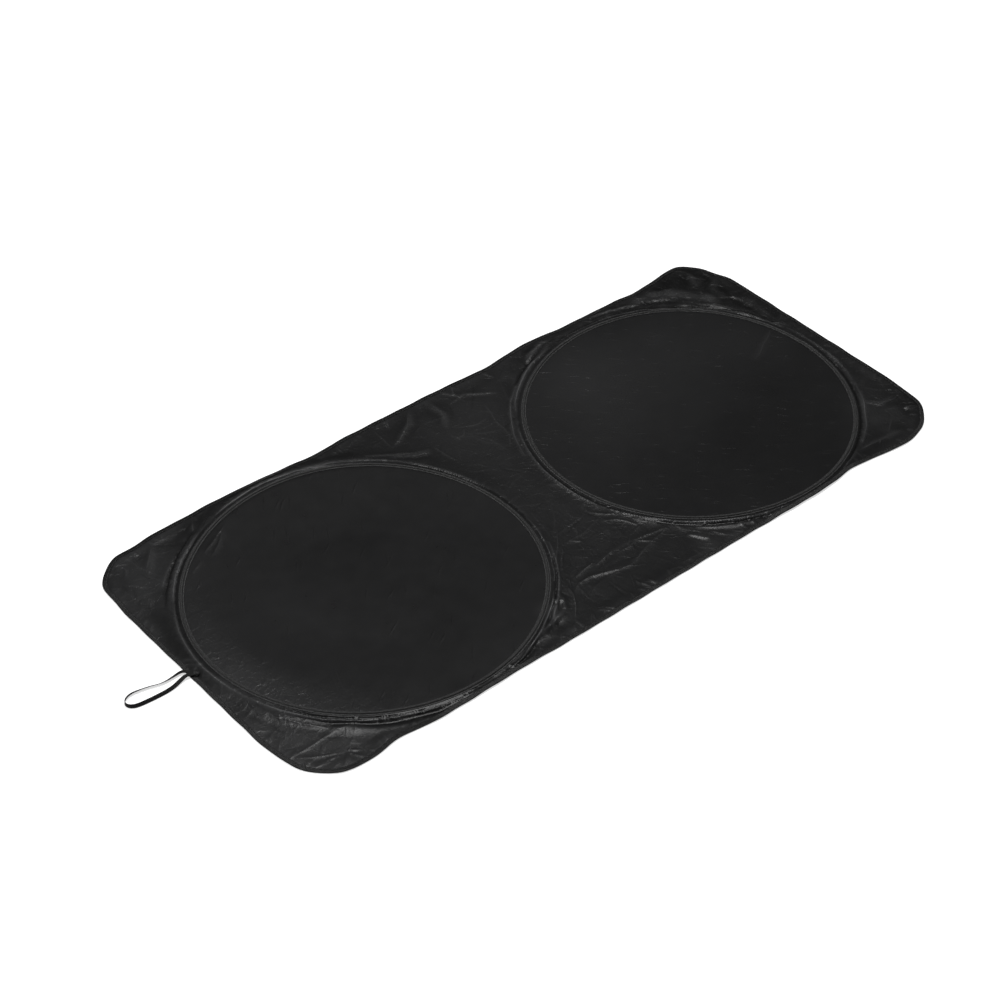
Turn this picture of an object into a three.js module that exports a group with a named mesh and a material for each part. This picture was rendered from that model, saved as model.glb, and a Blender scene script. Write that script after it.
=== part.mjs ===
// A folding car windscreen shade lying open: one black fabric panel, two sprung wire hoops sewn onto it
// under tape, a bound edge and an elastic carry loop. Millimetres: +X along the shade, +Z up, z = 0 is
// what it lies on. Every piece follows one height of the fabric, sheetTop(x, y).
import * as THREE from 'three';
import { mergeVertices } from 'three/addons/utils/BufferGeometryUtils.js';

// Panel, as cut
const panelLength = 1457;
const panelWidth = 650;
const cornerRadius = 68;
const fabricThickness = 0.8;

// Hoops: the wire's half length and half width, and how far each hoop's centre lies from the middle
const hoopHalfLength = 311.6;
const hoopHalfWidth = 299.2;
const leftHoopReach = 378.7;
const leftHoopShift = -6.8;
const rightHoopReach = 370.6;
const rightHoopShift = -14.6;

// Wire and the crimped sleeve that joins its ends
const wireDiameter = 1.8;
const wireEndGap = 1.5;
const ferruleLength = 14;
const ferruleWall = 0.3;
const ferruleClearance = 0.15;

// Tape sewn over the wire
const tapeWidth = 9;
const tapeThickness = 0.6;
const tunnelWidth = 3.6;
const tapeMargin = 1;

// Binding folded over the panel's edge
const bindingWidth = 7;
const bindingThickness = 0.6;
const bindingMargin = 1;

// Clearance between two pieces that touch
const clearance = 0.3;

// Carry loop
const loopWidth = 7;
const loopThickness = 1.1;

// How the fabric leaves a hoop: the flat middle of the disc, and how far outside it reaches the floor
const discFlatRadius = 130;
const outsideReach = 45;

// Small waves of the bound edge, along it and up and down, with their phases in radians
const puckerDepth = 0.7;
const puckerLength = 61;
const puckerPhase = 1;
const rippleHeight = 1.3;
const rippleLength = 97;
const ripplePhases = [0.7, -1.4];
const edgeReach = 30;

// How much of a fold the stitched hem holds down
const hemHold = 0.75;

// A hoop's mean height over the floor, and its warp: waves round the hoop, height, angle of one crest
const hoops = [
  {
    side: 'right',
    sign: 1,
    x: rightHoopReach,
    y: rightHoopShift,
    rise: 3.9,
    warp: [[1, 1.4, 60], [2, 2.4, 65.5], [3, 0.6, 40]],
    ferruleAngle: 168,
    lapAngle: 0,
  },
  {
    side: 'left',
    sign: -1,
    x: -leftHoopReach,
    y: leftHoopShift,
    rise: 5.8,
    warp: [[1, 3.0, 118], [2, 2.0, 72], [3, 1.4, 76]],
    ferruleAngle: 137,
    lapAngle: 215,
  },
];

// Where the cut edge swells out or is drawn in: place, how far out, and over what reach
const edgeSwells = [
  [662, 326, 10, 48], [727, 274, -15, 26], [706, 318, -12, 30], [539, 325, -4, 40], [270, 325, 7, 60],
  [150, 325, -4, 60], [-244, 325, -5, 50], [-440, 325, 4, 80], [-636, 322, -6, 38], [-702, 306, -14, 42],
  [-724, 240, -3, 40], [-722, -245, -5, 38], [-700, -298, -17, 46], [-551, -325, -9, 42], [-300, -325, -2, 60],
  [360, -325, 3, 90], [481, -325, -7, 44], [608, -326, 8, 46], [700, -300, -14, 42], [726, -240, -4, 30],
];

// Folds of the slack fabric: height, half width, then the points of its crest
const folds = [
  // Far corner on the right, the largest
  [7, 26, [488, 318], [560, 297], [612, 258], [660, 190]],
  [4, 18, [655, 328], [670, 300], [658, 256]],
  [4, 20, [712, 262], [676, 232], [672, 196]],
  [3, 14, [694, 205], [699, 150], [694, 80]],
  // Far side between the hoops
  [4, 14, [-178, 256], [-135, 227], [-100, 206], [-70, 198]],
  [1.8, 12, [-28, 314], [-50, 284], [-110, 252]],
  [1.8, 12, [11, 322], [12, 262], [-6, 232]],
  [2.2, 12, [48, 312], [72, 288], [134, 249]],
  [5, 18, [232, 287], [280, 303], [340, 314]],
  // Near side between the hoops
  [1.8, 11, [-100, -218], [-50, -212], [0, -207], [55, -210], [116, -222]],
  [1.8, 11, [-114, -236], [-78, -231], [-38, -242], [0, -252], [66, -233], [112, -223]],
  [2.6, 12, [128, -258], [152, -292]],
  [3, 12, [82, -168], [126, -214], [186, -257]],
  // Near corner on the left
  [2.8, 13, [-718, -245], [-620, -238], [-560, -262], [-532, -276]],
  [1.8, 12, [-714, -248], [-668, -273], [-636, -281]],
  [4, 13, [-536, -274], [-488, -292], [-430, -306]],
  [3, 13, [-262, -289], [-205, -279], [-152, -262]],
  [-1.4, 20, [-692, -148], [-652, -214], [-622, -232]],
  // Near corner on the right
  [2.8, 13, [524, -298], [566, -294], [636, -306]],
  [2.8, 13, [640, -204], [664, -226], [716, -226]],
  [2.4, 13, [686, -258], [708, -286]],
  // Far corner on the left
  [2, 12, [-676, 300], [-600, 309], [-560, 306]],
  [1.8, 12, [-644, 246], [-612, 284], [-600, 306]],
  [2.2, 12, [-530, 282], [-508, 318]],
];

// Crest line of the carry loop: x, y, height of its middle over the floor, and how far it leans inwards
// from standing on its edge, in degrees. Both ends are sewn flat on the panel, one over the other.
const loopRoute = [
  [-718.5, -7, 4.45, 90], [-724, 5, 4.45, 90], [-731, 15, 4.3, 86], [-738, 18, 3.6, 76],
  [-749.5, 17.6, 2.9, 62], [-764.6, 16.9, 2.9, 50], [-778, 18.6, 3, 43], [-789.6, 22.4, 3.1, 41],
  [-800, 25, 3.2, 39], [-810, 27, 3.3, 34], [-820, 28, 3.5, 26], [-829.1, 27, 3.7, 18],
  [-836.9, 23.4, 3.8, 10], [-842.1, 18, 3.8, 4], [-843.6, 11.9, 3.8, 10], [-840.6, 5.6, 3.7, 22],
  [-833.2, 1, 3.5, 34], [-822.6, -1.1, 3.2, 42], [-806.7, -2.4, 3, 48], [-790.3, -3.2, 2.9, 51],
  [-775.8, -3.3, 2.9, 55], [-761.3, -1.6, 3.1, 62], [-747, 2.2, 3.8, 74], [-736.5, 4.2, 5.2, 86],
  [-728, 1.5, 5.95, 90], [-715, -4.5, 6.0, 90],
];

// How finely each stretch is divided
const longSideSteps = 18;
const shortSideSteps = 14;
const cornerSteps = 5;
const midlineSteps = 16;
const discRings = [0, 0.4, 0.72];
const spandrelRings = [0.16, 0.36, 0.58, 0.8];
const wireSides = 6;
const ferruleSides = 10;

// How exactly the edge is found, and how near two points are to count as one
const edgeSearchReach = 1.3;
const edgeSearchSteps = 40;
const samePoint = 1e-4;

const bandHalf = tapeWidth / 2 + tapeMargin;
const slackStart = 1.5 * bandHalf;
const hemDepth = bindingWidth + bindingMargin;
const hemLift = bindingThickness + clearance;
const ferruleRadius = wireDiameter / 2 + ferruleClearance + ferruleWall;
const wireHeight = clearance + ferruleRadius;

const degrees = Math.PI / 180;

function smooth(t) {
  const s = Math.min(1, Math.max(0, t));
  return s * s * (3 - 2 * s);
}

// Radius of a hoop's wire in the direction of an angle
function hoopRadius(angle) {
  return hoopHalfLength * hoopHalfWidth
    / Math.hypot(hoopHalfWidth * Math.cos(angle), hoopHalfLength * Math.sin(angle));
}

// A point in plan, so far outside a hoop's wire
function besideHoop(hoop, angle, out) {
  return discPoint(hoop, angle, hoopRadius(angle) + out);
}

// A point in plan, so far from a hoop's centre
function discPoint(hoop, angle, radius) {
  return new THREE.Vector2(hoop.x + radius * Math.cos(angle), hoop.y + radius * Math.sin(angle));
}

// Height of the fabric's underside where a hoop is sewn to it
function hoopLift(hoop, angle) {
  let lift = hoop.rise;
  for (const [waves, height, crest] of hoop.warp) lift += height * Math.cos(waves * (angle - crest * degrees));
  return Math.max(0, lift);
}

// How far a point lies inside the cut edge
function inset(x, y) {
  const dx = Math.abs(x) - (panelLength / 2 - cornerRadius);
  const dy = Math.abs(y) - (panelWidth / 2 - cornerRadius);
  const outside = Math.hypot(Math.max(dx, 0), Math.max(dy, 0)) + Math.min(Math.max(dx, dy), 0);
  let edge = cornerRadius - outside;
  for (const [cx, cy, out, reach] of edgeSwells) {
    edge += out * Math.exp(-((x - cx) ** 2 + (y - cy) ** 2) / reach ** 2);
  }
  const turn = 2 * Math.PI / puckerLength;
  return edge + puckerDepth * (Math.sin(x * turn) + Math.sin(y * turn + puckerPhase)) / 2;
}

// How near a point is to a hoop: 1 under its tape, falling to 0 where the fabric lies on the floor
function hoopShare(angle, out) {
  if (Math.abs(out) <= bandHalf) return 1;
  if (out > 0) return Math.max(0, 1 - (out - bandHalf) / outsideReach) ** 2;
  const rim = hoopRadius(angle) - bandHalf;
  return Math.max(0, (rim + bandHalf + out - discFlatRadius) / (rim - discFlatRadius)) ** 2;
}

// Height of a fold at a point: highest along its crest, gone at its ends and at its half width
function foldHeight([height, halfWidth, ...crest], x, y) {
  let nearest = Infinity;
  let along = 0;
  for (let i = 0; i + 1 < crest.length; i++) {
    const [ax, ay] = crest[i];
    const [bx, by] = crest[i + 1];
    const lengthSquared = (bx - ax) ** 2 + (by - ay) ** 2;
    const t = THREE.MathUtils.clamp(((x - ax) * (bx - ax) + (y - ay) * (by - ay)) / lengthSquared, 0, 1);
    const distance = Math.hypot(x - ax - t * (bx - ax), y - ay - t * (by - ay));
    if (distance < nearest) {
      nearest = distance;
      along = (i + t) / (crest.length - 1);
    }
  }
  if (nearest >= halfWidth) return 0;
  return height * (1 - (nearest / halfWidth) ** 2) ** 2 * Math.sqrt(Math.sin(Math.PI * along));
}

// Height of the fabric's upper face
function sheetTop(x, y) {
  let lift = 0;
  let slack = 1;
  for (const hoop of hoops) {
    const angle = Math.atan2(y - hoop.y, x - hoop.x);
    const out = Math.hypot(x - hoop.x, y - hoop.y) - hoopRadius(angle);
    lift = Math.max(lift, hoopLift(hoop, angle) * hoopShare(angle, out));
    slack *= smooth((out - bandHalf) / slackStart);
  }
  const nearEdge = 1 - smooth((inset(x, y) - hemDepth) / edgeReach);
  const turn = 2 * Math.PI / rippleLength;
  const [phaseX, phaseY] = ripplePhases;
  const ripple = rippleHeight * (2 + Math.sin(x * turn + phaseX) + Math.sin(y * turn + phaseY)) / 4;
  lift = Math.max(lift, nearEdge * hemLift);
  lift += slack * nearEdge * ripple;
  const free = slack * (1 - nearEdge * hemHold);
  for (const fold of folds) lift += free * foldHeight(fold, x, y);
  return fabricThickness + Math.max(lift, nearEdge * hemLift);
}

// The point on the way from one plan point towards another that lies so far inside the cut edge
function pointAtInset(from, towards, depth) {
  let near = 0;
  let far = edgeSearchReach;
  for (let i = 0; i < edgeSearchSteps; i++) {
    const middle = (near + far) / 2;
    const point = from.clone().lerp(towards, middle);
    if (inset(point.x, point.y) > depth) near = middle;
    else far = middle;
  }
  return from.clone().lerp(towards, near);
}

// Points of the plain outline round one half, from the near end of the midline to the far end
function plainOutline() {
  const x = panelLength / 2 - cornerRadius;
  const y = panelWidth / 2 - cornerRadius;
  const points = [];
  for (let i = 1; i <= longSideSteps; i++) points.push(new THREE.Vector2(x * i / longSideSteps, -panelWidth / 2));
  for (const [cornerY, start] of [[-y, -Math.PI / 2], [y, 0]]) {
    for (let i = 1; i <= cornerSteps; i++) {
      const angle = start + i / cornerSteps * Math.PI / 2;
      points.push(new THREE.Vector2(x + cornerRadius * Math.cos(angle), cornerY + cornerRadius * Math.sin(angle)));
    }
    if (start < 0) {
      for (let i = 1; i <= shortSideSteps; i++) {
        points.push(new THREE.Vector2(panelLength / 2, -y + 2 * y * i / shortSideSteps));
      }
    }
  }
  for (let i = 1; i < longSideSteps; i++) points.push(new THREE.Vector2(x * (1 - i / longSideSteps), panelWidth / 2));
  return points;
}

// Stations round one hoop. Each has its angle at the hoop, the point of the panel's edge or midline
// beyond it, and the point on the way there where the hem starts.
function stationsRound(hoop) {
  const centre = new THREE.Vector2(hoop.x, hoop.y);
  const nearEnd = new THREE.Vector2(0, -hoop.sign * panelWidth / 2);
  const farEnd = nearEnd.clone().negate();
  const middle = new THREE.Vector2(0, 0);
  const edgeStart = pointAtInset(middle, nearEnd, 0);
  const edgeEnd = pointAtInset(middle, farEnd, 0);
  const stations = [];
  const add = (outer, inner, hem) => {
    stations.push({ angle: Math.atan2(outer.y - hoop.y, outer.x - hoop.x), outer, inner, hem });
  };
  add(edgeStart, pointAtInset(centre, edgeStart, hemDepth), pointAtInset(middle, nearEnd, hemDepth));
  for (const plain of plainOutline()) {
    const target = plain.multiplyScalar(hoop.sign);
    const inner = pointAtInset(centre, target, hemDepth);
    add(pointAtInset(centre, target, 0), inner, inner);
  }
  add(edgeEnd, pointAtInset(centre, edgeEnd, hemDepth), pointAtInset(middle, farEnd, hemDepth));
  const start = pointAtInset(middle, farEnd, hemDepth);
  const end = pointAtInset(middle, nearEnd, hemDepth);
  for (let i = 0; i <= midlineSteps; i++) {
    const outer = start.clone().lerp(end, i / midlineSteps);
    add(outer, outer.clone().lerp(centre, hemDepth / outer.distanceTo(centre)), null);
  }
  return stations;
}

// A closed body from its triangles, with shared points merged and its faces turned outwards
function body(positions, triangles) {
  let volume = 0;
  const [a, b, c] = [new THREE.Vector3(), new THREE.Vector3(), new THREE.Vector3()];
  for (let i = 0; i < triangles.length; i += 3) {
    a.fromArray(positions, 3 * triangles[i]);
    b.fromArray(positions, 3 * triangles[i + 1]);
    c.fromArray(positions, 3 * triangles[i + 2]);
    volume += a.dot(b.cross(c));
  }
  const geometry = new THREE.BufferGeometry();
  geometry.setAttribute('position', new THREE.Float32BufferAttribute(positions, 3));
  geometry.setIndex(volume < 0 ? triangles.reverse() : triangles);
  const merged = mergeVertices(geometry, samePoint);
  merged.computeVertexNormals();
  return merged;
}

// A body swept through equal sections, each a ring of points: a closed ring, or a bar with two ends. Each
// face between two sections is split from corner to corner, the other way on the strips named in turned.
function swept(sections, closed, turned = []) {
  const count = sections[0].length;
  const positions = sections.flat().flatMap((point) => point.toArray());
  const triangles = [];
  const last = closed ? sections.length : sections.length - 1;
  for (let i = 0; i < last; i++) {
    const here = i * count;
    const next = (i + 1) % sections.length * count;
    for (let j = 0; j < count; j++) {
      const k = (j + 1) % count;
      if (turned.includes(j)) triangles.push(here + j, next + j, here + k, next + j, next + k, here + k);
      else triangles.push(here + j, next + j, next + k, here + j, next + k, here + k);
    }
  }
  if (!closed) {
    const end = (sections.length - 1) * count;
    for (let j = 1; j + 1 < count; j++) triangles.push(0, j, j + 1, end, end + j + 1, end + j);
  }
  return body(positions, triangles);
}

function piece(name, geometry, color, roughness, metalness = 0) {
  const mesh = new THREE.Mesh(geometry, new THREE.MeshStandardMaterial({ color, roughness, metalness }));
  mesh.name = name;
  return mesh;
}

// The fabric panel: each half is rings of points round its hoop, out to the edge and the midline
function fabricPanel(halves) {
  const positions = [];
  const triangles = [];
  const addPoint = (point, below) => {
    positions.push(point.x, point.y, sheetTop(point.x, point.y) - below);
    return positions.length / 3 - 1;
  };
  for (const { hoop, stations } of halves) {
    const rows = stations.map(({ angle, inner, outer }) => {
      const rim = hoopRadius(angle) - bandHalf;
      const outside = besideHoop(hoop, angle, bandHalf);
      return [
        ...discRings.map((share) => discPoint(hoop, angle, THREE.MathUtils.lerp(discFlatRadius, rim, share))),
        besideHoop(hoop, angle, -bandHalf),
        outside,
        ...spandrelRings.map((share) => outside.clone().lerp(inner, share)),
        inner,
        outer,
      ];
    });
    const faces = [0, fabricThickness].map((below) => ({
      centre: addPoint(new THREE.Vector2(hoop.x, hoop.y), below),
      rows: rows.map((row) => row.map((point) => addPoint(point, below))),
    }));
    faces.forEach(({ centre, rows: face }, under) => {
      face.forEach((row, i) => {
        const next = face[(i + 1) % face.length];
        const add = (p, q, r) => triangles.push(...(under ? [p, r, q] : [p, q, r]));
        add(centre, row[0], next[0]);
        for (let j = 0; j + 1 < row.length; j++) {
          add(row[j], row[j + 1], next[j + 1]);
          add(row[j], next[j + 1], next[j]);
        }
      });
    });
    for (let i = 0; i + 1 < stations.length; i++) {
      if (!stations[i].hem || !stations[i + 1].hem) continue;
      const [top, under] = faces.map(({ rows: face }) => [face[i].at(-1), face[i + 1].at(-1)]);
      triangles.push(top[0], under[0], under[1], top[0], under[1], top[1]);
    }
  }
  return piece('fabric_panel', body(positions, triangles), 0x242424, 0.5);
}

// The binding: a tape folded over the edge, closed on itself round the panel
function edgeBinding(halves) {
  const sections = [];
  const lowerStrips = [0, 4];
  for (const { stations } of halves) {
    for (const { outer, hem } of stations.filter((station) => station.hem).slice(0, -1)) {
      const outerTop = sheetTop(outer.x, outer.y);
      const hemTop = sheetTop(hem.x, hem.y);
      const share = bindingWidth / hemDepth;
      const edge = outer.clone().lerp(hem, share);
      const edgeTop = THREE.MathUtils.lerp(outerTop, hemTop, share);
      const outwards = outer.clone().sub(hem).normalize();
      const wall = (distance) => outer.clone().addScaledVector(outwards, distance);
      const outside = wall(clearance + bindingThickness);
      const inside = wall(clearance);
      const over = clearance + bindingThickness;
      sections.push([
        new THREE.Vector3(outside.x, outside.y, outerTop + over),
        new THREE.Vector3(edge.x, edge.y, edgeTop + over),
        new THREE.Vector3(edge.x, edge.y, edgeTop + clearance),
        new THREE.Vector3(inside.x, inside.y, outerTop + clearance),
        new THREE.Vector3(inside.x, inside.y, outerTop - fabricThickness - clearance),
        new THREE.Vector3(edge.x, edge.y, edgeTop - fabricThickness - clearance),
        new THREE.Vector3(edge.x, edge.y, edgeTop - fabricThickness - over),
        new THREE.Vector3(outside.x, outside.y, outerTop - fabricThickness - over),
      ]);
    }
  }
  return piece('edge_binding', swept(sections, true, lowerStrips), 0x2b2b2b, 0.75);
}

// Where the middle of a hoop's wire passes a station
function wirePoint(hoop, angle) {
  const plan = besideHoop(hoop, angle, 0);
  return new THREE.Vector3(plan.x, plan.y, hoopLift(hoop, angle) + fabricThickness + wireHeight);
}

// Number of the station just before an angle
function stationBefore(stations, angleInDegrees) {
  const turn = (angle) => THREE.MathUtils.euclideanModulo(angle, 2 * Math.PI);
  const gaps = stations.map(({ angle }) => turn(angleInDegrees * degrees - angle));
  return gaps.indexOf(Math.min(...gaps));
}

// The tape: flat on both sides of the wire and arched over it, higher over the sleeve and at its own lap
function hoopTape(hoop, stations) {
  const ferruleAt = stationBefore(stations, hoop.ferruleAngle);
  const lapAt = stationBefore(stations, hoop.lapAngle);
  const sections = stations.map(({ angle }, i) => {
    const overFerrule = i === ferruleAt || i === (ferruleAt + 1) % stations.length;
    const inLap = i === lapAt || i === (lapAt + 1) % stations.length;
    const roof = wireHeight + (overFerrule ? ferruleRadius : wireDiameter / 2) + clearance;
    const thickness = tapeThickness * (inLap ? 2 : 1);
    const half = tapeWidth / 2;
    const foot = tunnelWidth / 2;
    const crown = wireDiameter / 2 + clearance;
    const profile = [
      [-half, clearance], [-foot, clearance], [-crown, roof], [crown, roof], [foot, clearance], [half, clearance],
      [half, clearance + thickness], [crown, roof + thickness], [-crown, roof + thickness],
      [-half, clearance + thickness],
    ];
    const base = hoopLift(hoop, angle) + fabricThickness;
    return profile.map(([out, up]) => {
      const plan = besideHoop(hoop, angle, out);
      return new THREE.Vector3(plan.x, plan.y, base + up);
    });
  });
  return piece(`${hoop.side}_hoop_tape`, swept(sections, true), 0x303030, 0.7);
}

// The wire runs once round, from one end to the other inside its sleeve
function hoopWire(hoop, stations) {
  const before = stationBefore(stations, hoop.ferruleAngle);
  const count = stations.length;
  const start = stations[(before + 1) % count];
  const finish = stations[before];
  const startPoint = wirePoint(hoop, start.angle);
  const finishPoint = wirePoint(hoop, finish.angle);
  const middle = startPoint.clone().lerp(finishPoint, 0.5);
  const along = startPoint.clone().sub(finishPoint).normalize();
  const section = (point, angle) => {
    const outwards = new THREE.Vector3(Math.cos(angle), Math.sin(angle), 0);
    return Array.from({ length: wireSides }, (_, i) => {
      const turn = i * 2 * Math.PI / wireSides;
      return point.clone()
        .addScaledVector(outwards, wireDiameter / 2 * Math.cos(turn))
        .add(new THREE.Vector3(0, 0, wireDiameter / 2 * Math.sin(turn)));
    });
  };
  const chordAngle = Math.atan2(-along.x, along.y);
  const sections = [section(middle.clone().addScaledVector(along, wireEndGap / 2), chordAngle)];
  for (let i = 1; i <= count; i++) {
    const { angle } = stations[(before + i) % count];
    sections.push(section(wirePoint(hoop, angle), angle));
  }
  sections.push(section(middle.clone().addScaledVector(along, -wireEndGap / 2), chordAngle));
  return piece(`${hoop.side}_hoop_wire`, swept(sections, false), 0x8d9093, 0.35, 1);
}

// The sleeve crimped over the wire's two ends
function wireFerrule(hoop, stations) {
  const before = stationBefore(stations, hoop.ferruleAngle);
  const from = wirePoint(hoop, stations[before].angle);
  const to = wirePoint(hoop, stations[(before + 1) % stations.length].angle);
  const bore = wireDiameter / 2 + ferruleClearance;
  const end = ferruleLength / 2;
  const profile = [[bore, -end], [ferruleRadius, -end], [ferruleRadius, end], [bore, end], [bore, -end]];
  const tube = new THREE.LatheGeometry(profile.map(([r, y]) => new THREE.Vector2(r, y)), ferruleSides);
  const mesh = piece(`${hoop.side}_wire_ferrule`, tube, 0xb4b6b8, 0.4, 1);
  mesh.position.copy(from.clone().lerp(to, 0.5));
  mesh.quaternion.setFromUnitVectors(new THREE.Vector3(0, 1, 0), to.clone().sub(from).normalize());
  return mesh;
}

// The carry loop: a flat elastic strap, leaning by the angle that its route gives
function carryLoop() {
  const route = new THREE.CatmullRomCurve3(loopRoute.map(([x, y, z]) => new THREE.Vector3(x, y, z)));
  const up = new THREE.Vector3(0, 0, 1);
  const edge = loopThickness / 4;
  const sections = loopRoute.map(([, , , lean], i) => {
    const at = i / (loopRoute.length - 1);
    const point = route.getPoint(at);
    const forward = route.getTangent(at);
    const inwards = new THREE.Vector3().crossVectors(up, forward).normalize();
    const standing = new THREE.Vector3().crossVectors(forward, inwards).normalize();
    const across = standing.clone().multiplyScalar(Math.cos(lean * degrees))
      .addScaledVector(inwards, Math.sin(lean * degrees));
    const through = new THREE.Vector3().crossVectors(across, forward).normalize();
    const w = loopWidth / 2;
    const t = loopThickness / 2;
    const profile = [[-w, -edge], [-w + edge, -t], [w - edge, -t], [w, -edge],
      [w, edge], [w - edge, t], [-w + edge, t], [-w, edge]];
    return profile.map(([a, b]) => point.clone().addScaledVector(across, a).addScaledVector(through, b));
  });
  return piece('carry_loop', swept(sections, false), 0x141414, 0.85);
}

const halves = hoops.map((hoop) => ({ hoop, stations: stationsRound(hoop) }));
const binding = edgeBinding(halves);
const shade = new THREE.Group();
shade.add(fabricPanel(halves), binding, carryLoop());
for (const { hoop, stations } of halves) {
  shade.add(hoopTape(hoop, stations), hoopWire(hoop, stations), wireFerrule(hoop, stations));
}

// The origin is under the middle of the bound panel
const middle = new THREE.Box3().setFromObject(binding).getCenter(new THREE.Vector3());
shade.position.set(-middle.x, -middle.y, 0);

export default shade;
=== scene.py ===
"""A folding windscreen shade lying open: its crumpled black fabric, bound edge, taped hoops and carry loop.

Shapes are worked out in millimetres, with the panel's own middle as the origin, and go into metres when a
mesh is made. Every piece follows one height of the fabric, fabric_top(x, y).
"""
import math

import bpy
import numpy as np
from mathutils import Matrix, Vector
from mathutils.bvhtree import BVHTree
from mathutils.geometry import delaunay_2d_cdt
from mathutils.kdtree import KDTree


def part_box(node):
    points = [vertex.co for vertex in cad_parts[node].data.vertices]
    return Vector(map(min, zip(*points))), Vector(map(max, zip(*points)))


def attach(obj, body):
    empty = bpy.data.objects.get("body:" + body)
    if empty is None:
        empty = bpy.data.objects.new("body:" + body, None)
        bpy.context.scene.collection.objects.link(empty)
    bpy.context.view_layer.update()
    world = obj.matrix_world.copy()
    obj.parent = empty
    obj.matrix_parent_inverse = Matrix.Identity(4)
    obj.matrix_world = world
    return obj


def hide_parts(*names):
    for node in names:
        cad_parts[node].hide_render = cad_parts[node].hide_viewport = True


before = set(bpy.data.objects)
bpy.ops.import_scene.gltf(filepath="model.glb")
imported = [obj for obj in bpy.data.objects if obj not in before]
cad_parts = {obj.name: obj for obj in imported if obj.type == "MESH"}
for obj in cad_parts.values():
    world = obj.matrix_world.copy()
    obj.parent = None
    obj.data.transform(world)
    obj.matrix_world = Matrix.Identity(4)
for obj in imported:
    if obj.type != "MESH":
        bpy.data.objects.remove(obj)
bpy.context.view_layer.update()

MM = 0.001

# Where the middle of the panel lies, seen from the middle of its bound edge
PANEL_MIDDLE = np.array([0.114, -0.536, 0])

# Panel, as cut
PANEL_LENGTH = 1457
PANEL_WIDTH = 650
CORNER_RADIUS = 68
FABRIC_LIFT = 0.8
FABRIC_THICKNESS = 0.5

# Hoops: the wire's half length and half width, then each hoop's middle, mean height and warp
HOOP_HALF_LENGTH = 311.6
HOOP_HALF_WIDTH = 299.2
HOOPS = {
    "right": {"x": 370.6, "y": -14.6, "rise": 3.9, "warp": [(1, 1.4, 60), (2, 2.4, 65.5), (3, 0.6, 40)],
              "lap": 0},
    "left": {"x": -378.7, "y": -6.8, "rise": 5.8, "warp": [(1, 3.0, 118), (2, 2.0, 72), (3, 1.4, 76)],
             "lap": 215},
}

# Wire, its sleeve, and the tape sewn over them
WIRE_DIAMETER = 1.8
WIRE_HEIGHT = 1.65
SLEEVE_RADIUS = 1.35
SLEEVE_LENGTH = 14
TAPE_WIDTH = 9
TAPE_THICKNESS = 0.6
TAPE_LAP = 22
BAND_HALF = 5.5
CLEARANCE = 0.3

# Binding folded over the edge
BINDING_WIDTH = 7
BINDING_THICKNESS = 0.6
HEM_DEPTH = 8
HEM_LIFT = BINDING_THICKNESS + CLEARANCE

# Carry loop
LOOP_WIDTH = 7
LOOP_THICKNESS = 1.1

# How the fabric leaves a hoop, and the small waves of its edge
DISC_FLAT_RADIUS = 130
OUTSIDE_REACH = 45
PUCKER_DEPTH = 0.7
PUCKER_LENGTH = 61
RIPPLE_HEIGHT = 1.3
RIPPLE_LENGTH = 97
EDGE_REACH = 30
HEM_HOLD = 0.75

# Where the cut edge swells out or is drawn in: place, how far out, and over what reach
EDGE_SWELLS = [
    (662, 326, 10, 48), (727, 274, -15, 26), (706, 318, -12, 30), (539, 325, -4, 40), (270, 325, 7, 60),
    (150, 325, -4, 60), (-244, 325, -5, 50), (-440, 325, 4, 80), (-636, 322, -6, 38), (-702, 306, -14, 42),
    (-724, 240, -3, 40), (-722, -245, -5, 38), (-700, -298, -17, 46), (-551, -325, -9, 42),
    (-300, -325, -2, 60), (360, -325, 3, 90), (481, -325, -7, 44), (608, -326, 8, 46), (700, -300, -14, 42),
    (726, -240, -4, 30),
]

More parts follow.
